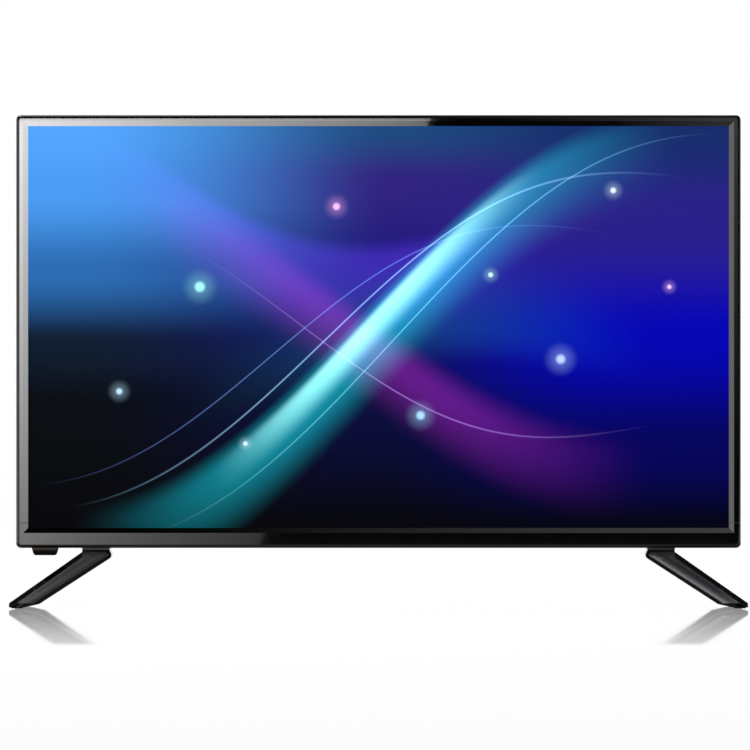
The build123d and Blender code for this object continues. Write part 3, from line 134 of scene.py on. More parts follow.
def mottle(tree, size, first, second, detail=2.0):
    """A colour that drifts from one to another, over patches about size metres across."""
    share = wander(tree, size, detail=detail)
    return add_node(tree, "ShaderNodeValToRGB", (share,), stops=((0.0, first), (1.0, second)))


def pitted(tree, size, depth, roughness, spread, detail=3.0, stretch=(1, 1, 1)):
    """The roughness and the normal that one set of pits gives, depth metres deep."""
    pits = wander(tree, size, detail=detail, stretch=stretch)
    dull = add_node(
        tree, "ShaderNodeMapRange", (pits, 0, 1, roughness * (1 - spread), roughness * (1 + spread)))
    return dull, add_node(tree, "ShaderNodeBump", {"Height": pits, "Distance": depth})


# Materials

def moulding(name, colour, tired, roughness, grain, depth, specular=0.5):
    """Moulded plastic: a colour that drifts a little, and a grain of a real size."""
    material, tree = new_material(name)
    dull, normal = pitted(tree, grain, depth, roughness, 0.12)
    return finish_material(material, "ShaderNodeBsdfPrincipled", {
        "Base Color": mottle(tree, 60 * MM, colour, tired),
        "Roughness": dull,
        "IOR": 1.5,
        "Specular IOR Level": specular,
        "Normal": normal,
    })


def metal(name, colour, dulled, roughness, grain, stretch=(1, 1, 1), depth=0.004 * MM):
    """Bare or plated metal: its reflection is broken up by the marks that its making left."""
    material, tree = new_material(name)
    dull, normal = pitted(tree, grain, depth, roughness, 0.3, detail=4.0, stretch=stretch)
    return finish_material(material, "ShaderNodeBsdfPrincipled", {
        "Base Color": mottle(tree, 18 * MM, colour, dulled),
        "Metallic": 1.0,
        "Roughness": dull,
        "Normal": normal,
    })


def polished_abs():
    """Polished piano-black ABS under a clear skin: deep black that mirrors the lamps as crisp shapes."""
    material, tree = new_material("polished_black_abs")
    swell = wander(tree, 45 * MM, detail=1.0)
    # The gloss breaks off at the hairline joint across the side borders, whose edges are a little grey
    height = add_node(tree, "ShaderNodeSeparateXYZ", (place_on(tree),)).outputs[2]
    off = add_node(tree, MATHS, (height, JOINT_HEIGHT), operation="SUBTRACT")
    off = add_node(tree, MATHS, (off,), operation="ABSOLUTE")
    broken = add_node(tree, "ShaderNodeMapRange", (off, 0.3 * MM, 0.9 * MM, 1.0, 0.0))
    rough = add_node(tree, MATHS, (broken, 0.5), operation="MULTIPLY")
    tone = add_node(tree, MATHS, (wander(tree, 0.9 * MM, 0.0, 0.5), broken), operation="MAXIMUM")
    return finish_material(material, "ShaderNodeBsdfPrincipled", {
        "Base Color": add_node(tree, "ShaderNodeValToRGB", (tone,), stops=(
            (0.0, bpy.context.scene.television_colours.case), (0.5, paint("#060608")),
            (1.0, paint("#1a1a1c")),
        )),
        "Roughness": add_node(
            tree, MATHS, (wander(tree, 0.9 * MM, 0.045, 0.075), rough), operation="MAXIMUM"),
        "IOR": 1.5,
        "Coat Weight": 1.0,
        "Coat Roughness": 0.03,
        "Coat IOR": 1.5,
        "Normal": add_node(tree, "ShaderNodeBump", {"Height": swell, "Distance": 0.0015 * MM}),
    })


def foot_abs():
    """Black ABS foot: grained slopes that turn grey in the light, between polished black bevels."""
    material, tree = new_material("grained_and_polished_abs")
    facing = add_node(tree, "ShaderNodeTexCoord").outputs["Normal"]
    folded = add_node(tree, VECTORS, (facing,), operation="ABSOLUTE")
    upward = add_node(tree, VECTORS, (folded, (0, *FOOT_SLOPE)), operation="DOT_PRODUCT").outputs["Value"]
    on_slope = add_node(tree, MATHS, (upward, ON_SLOPE), operation="GREATER_THAN")
    # A polished band also runs along the lower edge of the slope
    spot = add_node(tree, VECTORS, (place_on(tree),), operation="ABSOLUTE")
    inward = add_node(tree, VECTORS, (spot, FOOT_LOWER_EDGE), operation="DOT_PRODUCT").outputs["Value"]
    off_edge = add_node(tree, MATHS, (inward, FOOT_GRAIN_FROM), operation="GREATER_THAN")
    slope = add_node(tree, MATHS, (on_slope, off_edge), operation="MULTIPLY")
    # The real grain is a few tenths of a millimetre, too fine to show, so it is drawn at one
    grain = wander(tree, 1.1 * MM, detail=5.0)
    grey = add_node(tree, "ShaderNodeValToRGB", (grain,), stops=(
        (0.0, paint("#1c1c1c")), (0.45, paint("#2e2e2e")), (1.0, paint("#464646")),
    ))
    skin = add_node(tree, "ShaderNodeMix", {
        0: slope, 6: bpy.context.scene.television_colours.case, 7: grey,
    }, data_type="RGBA").outputs[2]
    relief = add_node(tree, MATHS, (grain, slope), operation="MULTIPLY")
    relief = add_node(tree, MATHS, (relief, 0.06 * MM), operation="MULTIPLY")
    # The slope is a little crowned, so that its halves shade differently
    low, high = FOOT_CROWN_ENDS
    off_crown = add_node(tree, "ShaderNodeMapRange", (inward, FOOT_CROWN + low, FOOT_CROWN + high, low, high))
    dip = add_node(tree, MATHS, (off_crown, off_crown), operation="MULTIPLY")
    height = add_node(tree, MATHS, (dip, -FOOT_CROWN_BEND, relief), operation="MULTIPLY_ADD")
    return finish_material(material, "ShaderNodeBsdfPrincipled", {
        "Base Color": skin,
        "Roughness": add_node(tree, "ShaderNodeMapRange", (slope, 0, 1, 0.09, 0.36)),
        "IOR": 1.5,
        "Specular IOR Level": 0.5,
        "Normal": add_node(tree, "ShaderNodeBump", {"Height": height, "Distance": 1.0}),
    })


def smoked_acrylic_painted_light():
    """Smoked brown acrylic with a soft moulded gloss: it hides the receiver. Its colour holds painted light:
    it is painted paler over its upper half, where light falls in behind it."""
    material, tree = new_material("smoked_acrylic_painted_light")
    low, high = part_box("ir_pod")[0][2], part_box("ir_pod")[1][2]
    # Painted light and shade: the colour is painted paler over the upper half of the pod, and darker again at
    # its very top
    share = add_node(tree, MATHS, (along(tree, "Z", low, high), wander(tree, 6 * MM, -0.03, 0.03)))
    return finish_material(material, "ShaderNodeBsdfPrincipled", {
        "Base Color": add_node(tree, "ShaderNodeValToRGB", (share,), stops=(
            (0.0, paint("#0d0a06")), (0.30, paint("#0f0b08")), (0.42, paint("#17120e")),
            (0.55, paint("#3f3934")), (0.68, paint("#554f4b")), (0.83, paint("#5c5652")),
            (1.0, paint("#443e3a")),
        )),
        "Roughness": wander(tree, 6 * MM, 0.12, 0.18),
        "IOR": 1.49,
        "Specular IOR Level": 0.1,
    })


def clear_acrylic(name, colour, roughness):
    """Clear or tinted acrylic: light passes and bends, and the edges look darker."""
    material, tree = new_material(name)
    return finish_material(material, "ShaderNodeBsdfPrincipled", {
        "Base Color": mottle(tree, 5 * MM, colour, paint("#dfe4e6")),
        "Roughness": wander(tree, 5 * MM, roughness, roughness * 2),
        "IOR": 1.49,
        "Transmission Weight": 0.85,
    })


def galvanised():
    """Galvanised sheet steel: interlocking spangles of lighter and darker grey zinc."""
    material, tree = new_material("galvanised_sheet_steel")
    spangle = add_node(tree, "ShaderNodeTexVoronoi", {"Vector": place_on(tree), "Scale": 1 / (7 * MM)})
    tone = add_node(tree, "ShaderNodeRGBToBW", (spangle.outputs["Color"],))
    grain = wander(tree, 0.8 * MM)
    return finish_material(material, "ShaderNodeBsdfPrincipled", {
        "Base Color": add_node(tree, "ShaderNodeValToRGB", (tone,), stops=(
            (0.2, paint("#a4a8ab")), (0.8, paint("#c3c7ca")))),
        "Metallic": 1.0,
        "Roughness": add_node(tree, "ShaderNodeMapRange", (tone, 0.2, 0.8, 0.30, 0.46)),
        "Normal": add_node(tree, "ShaderNodeBump", {"Height": grain, "Distance": 0.004 * MM}),
    })


def circuit_board(name, mask, copper):
    """Lacquered circuit board: solder mask over faintly raised copper tracks, with tinned pads."""
    material, tree = new_material(name)
    face = add_node(tree, "ShaderNodeMapping", {
        "Vector": place_on(tree), "Rotation": (math.radians(90), 0, 0)})
    tracks = add_node(tree, "ShaderNodeTexBrick", {
        "Vector": face, "Scale": 1 / (14 * MM), "Mortar Size": 0.035, "Brick Width": 0.62, "Row Height": 0.18,
        "Color1": mask, "Color2": mask, "Mortar": copper,
    })
    cells = add_node(tree, "ShaderNodeTexVoronoi", {"Vector": place_on(tree), "Scale": 1 / (4 * MM)})
    pads = add_node(tree, MATHS, (cells, 0.13), operation="LESS_THAN")
    dull, normal = pitted(tree, 3 * MM, 0.01 * MM, 0.36, 0.17)
    return finish_material(material, "ShaderNodeBsdfPrincipled", {
        "Base Color": add_node(tree, "ShaderNodeMix", {
            0: pads, 6: tracks, 7: paint("#b9bcbd")}, data_type="RGBA").outputs[2],
        "Roughness": dull,
        "IOR": 1.5,
        "Normal": add_node(tree, "ShaderNodeBump", {
            "Height": tracks.outputs["Fac"], "Distance": 0.05 * MM, "Normal": normal}),
    })


# The picture on the screen

# Its ground at the left, in the middle and at the right, each from the foot to the top
GROUND_LEFT = (
    (0.0, paint("#000002")), (0.30, paint("#000408")), (0.46, paint("#06182c")), (0.64, paint("#2a6cb4")),
    (0.84, paint("#4a9cf4")), (1.0, paint("#52a6ff")),
)
GROUND_MIDDLE = (
    (0.0, paint("#000006")), (0.30, paint("#03063a")), (0.62, paint("#120e78")), (0.86, paint("#302080")),
    (1.0, paint("#1b4a80")),
)
GROUND_RIGHT = (
    (0.0, paint("#000012")), (0.20, paint("#00005c")), (0.48, paint("#0000b4")), (0.76, paint("#2a1e8a")),
    (1.0, paint("#142c6c")),
)
# Each band: height at the left, rise across, swing, waves, phase, reach above, reach below,
# where it starts and ends across, how softly it ends, colour and strength. All are shares of the picture.
RIBBONS = (
    (0.10, 0.80, 0.20, 0.85, 3.7, 0.07, 0.20, 0.06, 0.94, 0.40, paint("#10b4c8"), 0.80),
    (0.115, 0.80, 0.20, 0.85, 3.7, 0.028, 0.085, 0.26, 0.74, 0.22, paint("#b4fff0"), 0.95),
    (0.78, -0.62, 0.12, 0.95, 0.4, 0.09, 0.17, 0.12, 0.90, 0.35, paint("#701a84"), 0.75),
    (0.92, -0.35, 0.10, 1.2, 1.6, 0.06, 0.22, 0.04, 0.80, 0.30, paint("#4a2cb4"), 0.55),
    (0.28, 0.10, 0.16, 0.7, 5.2, 0.22, 0.10, 0.20, 0.90, 0.35, paint("#08404a"), 0.70),
)
LINES = (
    (0.16, 0.72, 0.17, 0.9, 3.9, 0.0040, 0.0040, 0.05, 0.95, 0.4, paint("#9fd4ff"), 0.75),
    (0.05, 0.80, 0.21, 0.82, 3.6, 0.0034, 0.0034, 0.15, 1.0, 0.4, paint("#8ce8f5"), 0.60),
    (0.22, 0.60, 0.14, 1.0, 4.1, 0.0030, 0.0030, 0.0, 0.85, 0.4, paint("#7fa9ff"), 0.50),
    (0.70, -0.50, 0.13, 1.0, 0.7, 0.0034, 0.0034, 0.2, 0.9, 0.35, paint("#c79bff"), 0.45),
)
# Each spark: its place across and up, its radius in millimetres, and its colour
SPARKS = (
    (0.13, 0.34, 4.4, paint("#bfe6ff")), (0.245, 0.60, 7.0, paint("#a9ffe6")),
    (0.31, 0.21, 3.0, paint("#d9f2ff")), (0.44, 0.80, 5.0, paint("#ffb9f0")),
    (0.56, 0.28, 6.0, paint("#9fe0ff")), (0.66, 0.63, 3.4, paint("#c9ffd9")),
    (0.76, 0.42, 6.4, paint("#b8d4ff")), (0.835, 0.84, 4.0, paint("#e6f4ff")),
    (0.915, 0.60, 3.0, paint("#ffc9ee")),
)


def add_glow(tree, light, share, colour, strength):
    """Adds share times colour to the picture's light."""
    tint = [channel * strength for channel in colour[:3]]
    glow = add_node(tree, VECTORS, {0: tint, 3: share}, operation="SCALE")
    return add_node(tree, VECTORS, (light, glow), operation="ADD")


def fade(tree, value, none, full):
    """A share that goes softly from 0, where value is none, to 1, where it is full."""
    ends = (none, full, 0, 1) if none < full else (full, none, 1, 0)
    return add_node(tree, "ShaderNodeMapRange", (value, *ends), interpolation_type="SMOOTHSTEP")


def ribbon_share(tree, across, up, ribbon):
    """How brightly a waving band shines at a place."""
    height, rise, swing, waves, phase, above, below, start, end, softness = ribbon[:10]
    turn = add_node(tree, MATHS, (across, FULL_TURN * waves, phase), operation="MULTIPLY_ADD")
    slant = add_node(tree, MATHS, (across, rise, height), operation="MULTIPLY_ADD")
    wave = add_node(tree, MATHS, (turn,), operation="SINE")
    line = add_node(tree, MATHS, (wave, swing, slant), operation="MULTIPLY_ADD")
    off = add_node(tree, MATHS, (up, line), operation="SUBTRACT")
    share = fade(tree, off, above, 0.0)
    for edge in (fade(tree, off, -below, 0.0), fade(tree, across, start, start + softness),
                 fade(tree, across, end, end - softness)):
        share = add_node(tree, MATHS, (share, edge), operation="MULTIPLY")
    return share


def lit_screen():
    """The lit panel behind its satin polariser: it shines by itself, and mirrors next to nothing."""
    material, tree = new_material("lit_panel_behind_satin_polariser")
    axes = add_node(tree, "ShaderNodeSeparateXYZ", (place_on(tree),))
    right, top = PICTURE_LEFT + PICTURE_WIDTH, PICTURE_FOOT + PICTURE_HEIGHT
    across = add_node(tree, "ShaderNodeMapRange", (axes.outputs[0], PICTURE_LEFT, right, 0, 1))
    up = add_node(tree, "ShaderNodeMapRange", (axes.outputs[2], PICTURE_FOOT, top, 0, 1))
    left, middle, far = [
        add_node(tree, "ShaderNodeValToRGB", (up,), stops=stops)
        for stops in (GROUND_LEFT, GROUND_MIDDLE, GROUND_RIGHT)
    ]
    for ground in (left, middle, far):
        ground.color_ramp.interpolation = "EASE"
    light = add_node(tree, "ShaderNodeMix", {
        0: fade(tree, across, 0.06, 0.52), 6: left, 7: middle}, data_type="RGBA").outputs[2]
    light = add_node(tree, "ShaderNodeMix", {
        0: fade(tree, across, 0.50, 0.82), 6: light, 7: far}, data_type="RGBA").outputs[2]
    for ribbon in RIBBONS + LINES:
        light = add_glow(tree, light, ribbon_share(tree, across, up, ribbon), *ribbon[10:])
    for spark_across, spark_up, radius, colour in SPARKS:
        middle = (PICTURE_LEFT + PICTURE_WIDTH * spark_across, 0.0, PICTURE_FOOT + PICTURE_HEIGHT * spark_up)
        flat = add_node(tree, VECTORS, (place_on(tree), (1, 0, 1)), operation="MULTIPLY")
        gap = add_node(tree, VECTORS, (flat, middle), operation="DISTANCE").outputs["Value"]
        light = add_glow(tree, light, fade(tree, gap, radius * MM, radius * 0.3 * MM), colour, 0.9)
        light = add_glow(tree, light, fade(tree, gap, 3 * radius * MM, 0.0), colour, 0.22)
    return finish_material(material, "ShaderNodeBsdfPrincipled", {
        "Base Color": mottle(tree, 0.5 * MM, paint("#050507"), paint("#070709")),
        "Roughness": wander(tree, 0.5 * MM, 0.40, 0.48),
        "IOR": 1.5,
        "Specular IOR Level": 0.02,
        "Emission Color": light,
        "Emission Strength": 1.0,
    })


# Modelling

def dress(material, *names):
    """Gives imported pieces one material."""
    for name in names:
        mesh = NODES[name].data
        mesh.materials.clear()
        mesh.materials.append(material)


def start_piece(name, add, **settings):
    """Adds a primitive with nothing else selected, and opens it for editing."""
    if bpy.context.mode != "OBJECT":
        bpy.ops.object.mode_set(mode="OBJECT")
    bpy.ops.object.select_all(action="DESELECT")
    add(**settings)
    piece = bpy.context.object
    piece.name = name
    bpy.ops.object.mode_set(mode="EDIT")
    bpy.ops.mesh.select_mode(type="FACE")
    return piece


def pick_faces(piece, wanted):
    """Selects only the faces that wanted says yes to."""
    bpy.ops.mesh.select_all(action="DESELECT")
    mesh = bmesh.from_edit_mesh(piece.data)
    for face in mesh.faces:
        if wanted(face):
            face.select_set(True)
    bmesh.update_edit_mesh(piece.data)


def close_piece(piece, material, smooth_below=40):
    """Leaves edit mode, puts the piece's place into its mesh and gives it its finish."""
    bpy.ops.object.mode_set(mode="OBJECT")
    bpy.ops.object.transform_apply(location=True, rotation=True, scale=True)
    bpy.ops.object.shade_smooth_by_angle(angle=math.radians(smooth_below))
    piece.data.materials.clear()
    piece.data.materials.append(material)
    return piece


def apply_modifier(piece, kind, **settings):
    """Adds a modifier to a piece and applies it."""
    bpy.ops.object.mode_set(mode="OBJECT")
    bpy.context.view_layer.objects.active = piece
    modifier = piece.modifiers.new("work", kind)
    for name, value in settings.items():
        setattr(modifier, name, value)
    bpy.ops.object.modifier_apply(modifier=modifier.name)


def row(piece, count, step):
    """Repeats what is in a piece's mesh, count times in all."""
    apply_modifier(
        piece, "ARRAY", count=count, use_relative_offset=False, use_constant_offset=True,
        constant_offset_displace=step)


def cut(piece, cutter):
    """Takes a cutter's shape out of a piece, and throws the cutter away."""
    bpy.ops.object.mode_set(mode="OBJECT")
    apply_modifier(piece, "BOOLEAN", object=cutter, operation="DIFFERENCE", solver="EXACT")
    bpy.data.objects.remove(cutter)


def set_out(model, name, places, body="television", stands_for=None):
    """Puts a copy of a model, with its own mesh, at each place, and throws the model away."""
    for number, place in enumerate(places, 1):
        bpy.ops.object.select_all(action="DESELECT")
        model.select_set(True)
        bpy.context.view_layer.objects.active = model
        bpy.ops.object.duplicate_move(TRANSFORM_OT_translate={"value": place})
        bpy.ops.object.transform_apply(location=True, rotation=False, scale=False)
        piece = bpy.context.object
        piece.name = f"{name}_{number}"
        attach(piece, body)
        if stands_for:
            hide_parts(stands_for)
    bpy.data.objects.remove(model)


def cross_head_screw(head_radius, head_height, shank_radius, shank_length, turn, material):
    """A screw with its head on its seat at the origin: a domed head with a cross recess, and its shank."""
    piece = start_piece(
        "screw_model", bpy.ops.mesh.primitive_cylinder_add, vertices=40, radius=head_radius,
        depth=head_height, location=(0, 0, head_height / 2))
    pick_faces(piece, lambda face: face.normal.z > 0.9)
    bpy.ops.mesh.bevel(offset=0.4 * head_height, segments=4, affect="EDGES")
    pick_faces(piece, lambda face: face.normal.z < -0.9)
    bpy.ops.mesh.inset(thickness=head_radius - shank_radius)
    bpy.ops.mesh.extrude_region_move(TRANSFORM_OT_translate={"value": (0, 0, -shank_length)})
    bpy.ops.mesh.bevel(offset=0.3 * shank_radius, segments=1, affect="EDGES")
    for angle in (45, 135):
        cutter = start_piece(
            "cutter", bpy.ops.mesh.primitive_cube_add, size=1, location=(0, 0, head_height),
            rotation=(0, 0, math.radians(angle)),
            scale=(0.26 * head_radius, 1.1 * head_radius, 1.3 * head_height))
        pick_faces(cutter, lambda face: face.normal.z < -0.9)
        bpy.ops.transform.resize(value=(0.45, 0.45, 1), center_override=(0, 0, head_height * 0.35))
        cut(piece, cutter)
    bpy.ops.object.select_all(action="DESELECT")
    piece.select_set(True)
    bpy.context.view_layer.objects.active = piece
    piece.rotation_euler = turn
    return close_piece(piece, material)


KEYS = ("key_power", "key_source", "key_menu", "key_channel_up", "key_channel_down",
        "key_volume_up", "key_volume_down")
# The strokes of each mark: how far back and up its middle is, its length and its lean, in mm and degrees
KEY_STROKES = {
    "key_power": ((0.0, 0.95, 2.0, 90),),
    "key_source": ((0.9, 1.3, 1.8, 0), (0.9, -1.3, 1.8, 0), (1.55, 0.0, 3.1, 90), (-0.7, 0.0, 2.6, 0),
                   (0.2, 0.42, 1.2, -45), (0.2, -0.42, 1.2, 45)),
    "key_menu": ((0.0, 1.15, 3.0, 0), (0.0, 0.0, 3.0, 0), (0.0, -1.15, 3.0, 0)),
    "key_channel_up": ((-0.7, 0.0, 2.2, 45), (0.7, 0.0, 2.2, -45)),
    "key_channel_down": ((-0.7, 0.0, 2.2, -45), (0.7, 0.0, 2.2, 45)),
    "key_volume_up": ((0.0, 0.0, 2.8, 0), (0.0, 0.0, 2.8, 90)),
    "key_volume_down": ((0.0, 0.0, 2.8, 0),),
}


# Where the screws' heads are: across and up on the cover, across and back under the feet, in mm
COVER_SCREWS = (
    (-109.98, 479.0), (109.98, 479.0), (-320.01, 479.0), (320.01, 479.0), (-326.0, 81.0), (326.0, 81.0),
    (-348.5, 125.0), (348.5, 125.0), (-348.5, 375.09), (348.5, 375.09),
)
FOOT_SCREWS = ((-282.5, -6.0), (-282.5, 16.0), (282.5, -6.0), (282.5, 16.0))
# Where the sockets are: heights in mm, and the others in metres
HDMI_LIFTS = (139.0, 162.0, 185.0)
USB_LIFTS = (209.0, 230.0)
PHONES_MOUTH = (0.2652, 0.0149, 0.252)
AERIAL = (0.194, 0.149)
VGA = (0.223, 0.149)


# Sizes and colours that a user would change

class TelevisionSizes(bpy.types.PropertyGroup):
    mark_rise: bpy.props.FloatProperty(
        name="Key mark rise", description="How far a printed key mark stands off its key",
        default=0.04 * MM, unit="LENGTH")
    mark_stroke: bpy.props.FloatProperty(
        name="Key mark stroke", description="Line width of the marks on the keys",
        default=0.45 * MM, unit="LENGTH")
    contact_width: bpy.props.FloatProperty(
        name="Contact width", description="Width of a plated contact in the sockets",
        default=0.45 * MM, unit="LENGTH")
    thread_pitch: bpy.props.FloatProperty(
        name="Thread pitch", description="Distance between the turns on the aerial socket",
        default=0.8 * MM, unit="LENGTH")


class TelevisionColours(bpy.types.PropertyGroup):
    case: bpy.props.FloatVectorProperty(
        name="Case", description="The gloss bezel and feet", subtype="COLOR", size=4,
        min=0, max=1, default=paint("#030304"))
    cover: bpy.props.FloatVectorProperty(
        name="Rear cover", description="The textured back", subtype="COLOR", size=4,
        min=0, max=1, default=paint("#1b1b1d"))
    seat: bpy.props.FloatVectorProperty(
        name="Foot seats", description="The grey seats between feet and case", subtype="COLOR", size=4,
        min=0, max=1, default=paint("#3a3a3a"))


class StudioSettings(bpy.types.PropertyGroup):
    room_level: bpy.props.FloatProperty(
        name="Room level", description="Even light from all around", default=0.5, min=0, max=2)
    floor_tone: bpy.props.FloatVectorProperty(
        name="Floor", description="The pale table top", subtype="COLOR", size=4,
        min=0, max=1, default=paint("#f6f6f6"))


# The studio

# How far the floor reaches to all sides, and how far under the feet it lies: in the photograph a hair of
# light parts the toes from their mirror image
FLOOR_REACH = 14.0
FLOOR_GAP = 0.8 * MM
# Where in front of the set the tall softbox stands, with its flag just behind it
FRONT_CARDS = -1.032
FRONT_FLAG = FRONT_CARDS - 0.01


def stage_sheet(name, corners, material, seen_by_camera=False):
    """A flat sheet that belongs to the studio."""
    mesh = bpy.data.meshes.new(name)
    mesh.from_pydata(corners, [], [tuple(range(len(corners)))])
    sheet = bpy.data.objects.new(name, mesh)
    bpy.context.scene.collection.objects.link(sheet)
    mesh.materials.append(material)
    sheet.visible_camera = seen_by_camera
    sheet.visible_diffuse = seen_by_camera
    sheet.visible_shadow = seen_by_camera
    sheet.visible_transmission = seen_by_camera
    return sheet


def gridded(material, tree, inputs, spread):
    """A glow behind a honeycomb grid: it shows only to rays that meet the sheet nearly square on.
    spread is how far off square that goes, as one minus the cosine."""
    facing = add_node(tree, "ShaderNodeLayerWeight", {"Blend": 0.5}).outputs["Facing"]
    shut = add_node(tree, "ShaderNodeMapRange", (facing, spread, spread * 1.4, 0, 1))
    glow = add_node(tree, "ShaderNodeEmission", inputs)
    clear = add_node(tree, "ShaderNodeBsdfTransparent")
    return finish_material(material, "ShaderNodeMixShader", (shut, glow, clear))


def glowing(name, strength, spread):
    """An even softbox skin."""
    return gridded(*new_material(name), {"Strength": strength}, spread)


def along(tree, axis, start, end):
    """How far a place lies from start to end along one axis, from 0 to 1."""
    axes = add_node(tree, "ShaderNodeSeparateXYZ", (place_on(tree),))
    return add_node(tree, "ShaderNodeMapRange", (axes.outputs["XYZ".index(axis)], start, end, 0, 1))


def graded_skin(name, peak, top, foot, left, right):
    """A softbox skin that is brightest at its top left and dies away to its right and its foot. Across, it
    falls to a third over a reach that grows with height, and its height adds a slightly bent rise."""
    material, tree = new_material(name)
    up = along(tree, "Z", foot, top)
    across = along(tree, "X", left, right)
    reach = add_node(tree, MATHS, (up, 0.34, 0.20), operation="MULTIPLY_ADD")
    steps = add_node(tree, MATHS, (across, reach), operation="DIVIDE")
    fall = add_node(tree, MATHS, (1 / math.e, steps), operation="POWER")
    bend = add_node(tree, MATHS, (up, 0.243, 0.567), operation="MULTIPLY_ADD")
    height = add_node(tree, MATHS, (up, bend, 0.19), operation="MULTIPLY_ADD")
    share = add_node(tree, MATHS, (fall, height), operation="MULTIPLY")
    strength = add_node(tree, MATHS, (share, peak), operation="MULTIPLY")
    return gridded(material, tree, {"Strength": strength}, 0.12)


def ramp_skin(name, axis, stops, spread):
    """A softbox skin graded along one axis. stops are places in metres with their strengths."""
    material, tree = new_material(name)
    start, end = stops[0][0], stops[-1][0]
    peak = max(strength for place, strength in stops)
    graded = [((place - start) / (end - start), (strength / peak,) * 3 + (1.0,)) for place, strength in stops]
    ramp = add_node(tree, "ShaderNodeValToRGB", (along(tree, axis, start, end),), stops=graded)
    return gridded(material, tree, {"Color": ramp, "Strength": peak}, spread)


def flag_cloth(name, glow, corner, reach):
    """Black flag cloth. One corner still catches a little of the room."""
    material, tree = new_material(name)
    gap = add_node(tree, VECTORS, (place_on(tree), corner), operation="SUBTRACT")
    wide = add_node(tree, VECTORS, (gap, (1.6, 1, 1)), operation="MULTIPLY")
    length = add_node(tree, VECTORS, (wide,), operation="LENGTH").outputs["Value"]
    near = add_node(tree, "ShaderNodeMapRange", (length, 0, reach, 1, 0))
    strength = add_node(tree, MATHS, (near, 2), operation="POWER")
    strength = add_node(tree, MATHS, (strength, glow), operation="MULTIPLY")
    return gridded(material, tree, {"Strength": strength}, 0.12)


def floor_top():
    """Glossy white laminate: as white as the backdrop, with the soft trace of a shadow and a mirror image."""
    material, tree = new_material("glossy_white_laminate")
    paths = add_node(tree, "ShaderNodeLightPath")
    tone = bpy.context.scene.studio_settings.floor_tone
    seen = add_node(tree, MATHS, (
        paths.outputs["Is Camera Ray"], paths.outputs["Is Transmission Ray"]), operation="MAXIMUM")
    seen = add_node(tree, MATHS, (seen, paths.outputs["Is Glossy Ray"]), operation="MAXIMUM")
    lit = add_node(tree, MATHS, (seen, 0.88), operation="MULTIPLY")
    matt = add_node(tree, "ShaderNodeBsdfDiffuse", {"Color": tone})
    shine = add_node(tree, "ShaderNodeEmission", {"Color": paint("#ffffff"), "Strength": 1.03})
    white = add_node(tree, "ShaderNodeMixShader", (lit, matt, shine))
    # Painted shade: for glossy rays the floor is painted dark just under the set, and from about 2 m in front
    # of it on, so the gloss of case and feet looks into dark there
    depth = add_node(tree, "ShaderNodeSeparateXYZ", (place_on(tree),)).outputs[1]
    off = add_node(tree, MATHS, (depth,), operation="ABSOLUTE")
    under = add_node(tree, "ShaderNodeMapRange", (off, 0.25, 0.90, 0.82, 0.0))
    beyond = add_node(tree, "ShaderNodeMapRange", (depth, -1.8, -3.0, 0.0, 1.0))
    painted_shade = add_node(tree, MATHS, (under, beyond), operation="MAXIMUM")
    painted_shade = add_node(tree, MATHS, (painted_shade, paths.outputs["Is Glossy Ray"]), operation="MULTIPLY")
    painted_dark = add_node(tree, "ShaderNodeEmission", {"Strength": 0.0})
    white = add_node(tree, "ShaderNodeMixShader", (painted_shade, white, painted_dark))
    mirror = add_node(tree, "ShaderNodeBsdfGlossy", {"Color": paint("#ffffff"), "Roughness": 0.03})
    # The mirror image is strong under the toes, and fades to nothing nearer the camera. Like all laminate,
    # the floor mirrors only what is seen at a grazing angle
    dimming = add_node(tree, "ShaderNodeValToRGB", (along(tree, "Y", 0.0, -2.0),), stops=(
        (0.05, (0.74,) * 3 + (1,)), (0.30, (0.64,) * 3 + (1,)), (0.66, (0.40,) * 3 + (1,)),
        (0.72, (0, 0, 0, 1)),
    ))
    facing = add_node(tree, "ShaderNodeLayerWeight", {"Blend": 0.5}).outputs["Facing"]
    grazing = add_node(tree, "ShaderNodeMapRange", (facing, 0.93, 0.97, 0, 1))
    share = add_node(tree, MATHS, (dimming, grazing), operation="MULTIPLY")
    share = add_node(tree, MATHS, (share, paths.outputs["Is Camera Ray"]), operation="MULTIPLY")
    return finish_material(material, "ShaderNodeMixShader", (share, white, mirror))


def set_world():
    """A white backdrop behind the set, a plain even room, and dark flags where the set's gloss looks."""
    world = bpy.data.worlds.new("studio_room")
    bpy.context.scene.world = world
    world.use_nodes = True
    tree = world.node_tree
    tree.nodes.clear()
    paths = add_node(tree, "ShaderNodeLightPath")
    direction = add_node(tree, "ShaderNodeTexCoord").outputs["Generated"]
    axes = add_node(tree, "ShaderNodeSeparateXYZ", (direction,))
    behind = add_node(tree, MATHS, (axes.outputs[1], 0.0), operation="GREATER_THAN")
    low = add_node(tree, MATHS, (axes.outputs[2], 0.34), operation="LESS_THAN")
    backdrop = add_node(tree, MATHS, (behind, low), operation="MULTIPLY")
    in_gloss = add_node(tree, MATHS, (backdrop, 0.98, 0.02), operation="MULTIPLY_ADD")
    glossy = add_node(tree, MATHS, (paths.outputs["Is Glossy Ray"], in_gloss), operation="MULTIPLY")
    seen = add_node(tree, MATHS, (
        paths.outputs["Is Camera Ray"], paths.outputs["Is Transmission Ray"]), operation="MAXIMUM")
    level = add_node(tree, MATHS, (glossy, seen), operation="MAXIMUM")
    shown = add_node(tree, MATHS, (seen, paths.outputs["Is Glossy Ray"]), operation="MAXIMUM")
    rest = add_node(tree, MATHS, (1.0, shown), operation="SUBTRACT")
    room = bpy.context.scene.studio_settings.room_level
    level = add_node(tree, MATHS, (rest, room, level), operation="MULTIPLY_ADD")
    shine = add_node(tree, "ShaderNodeBackground", {"Color": paint("#ffffff"), "Strength": level})
    add_node(tree, "ShaderNodeOutputWorld", {"Surface": shine})


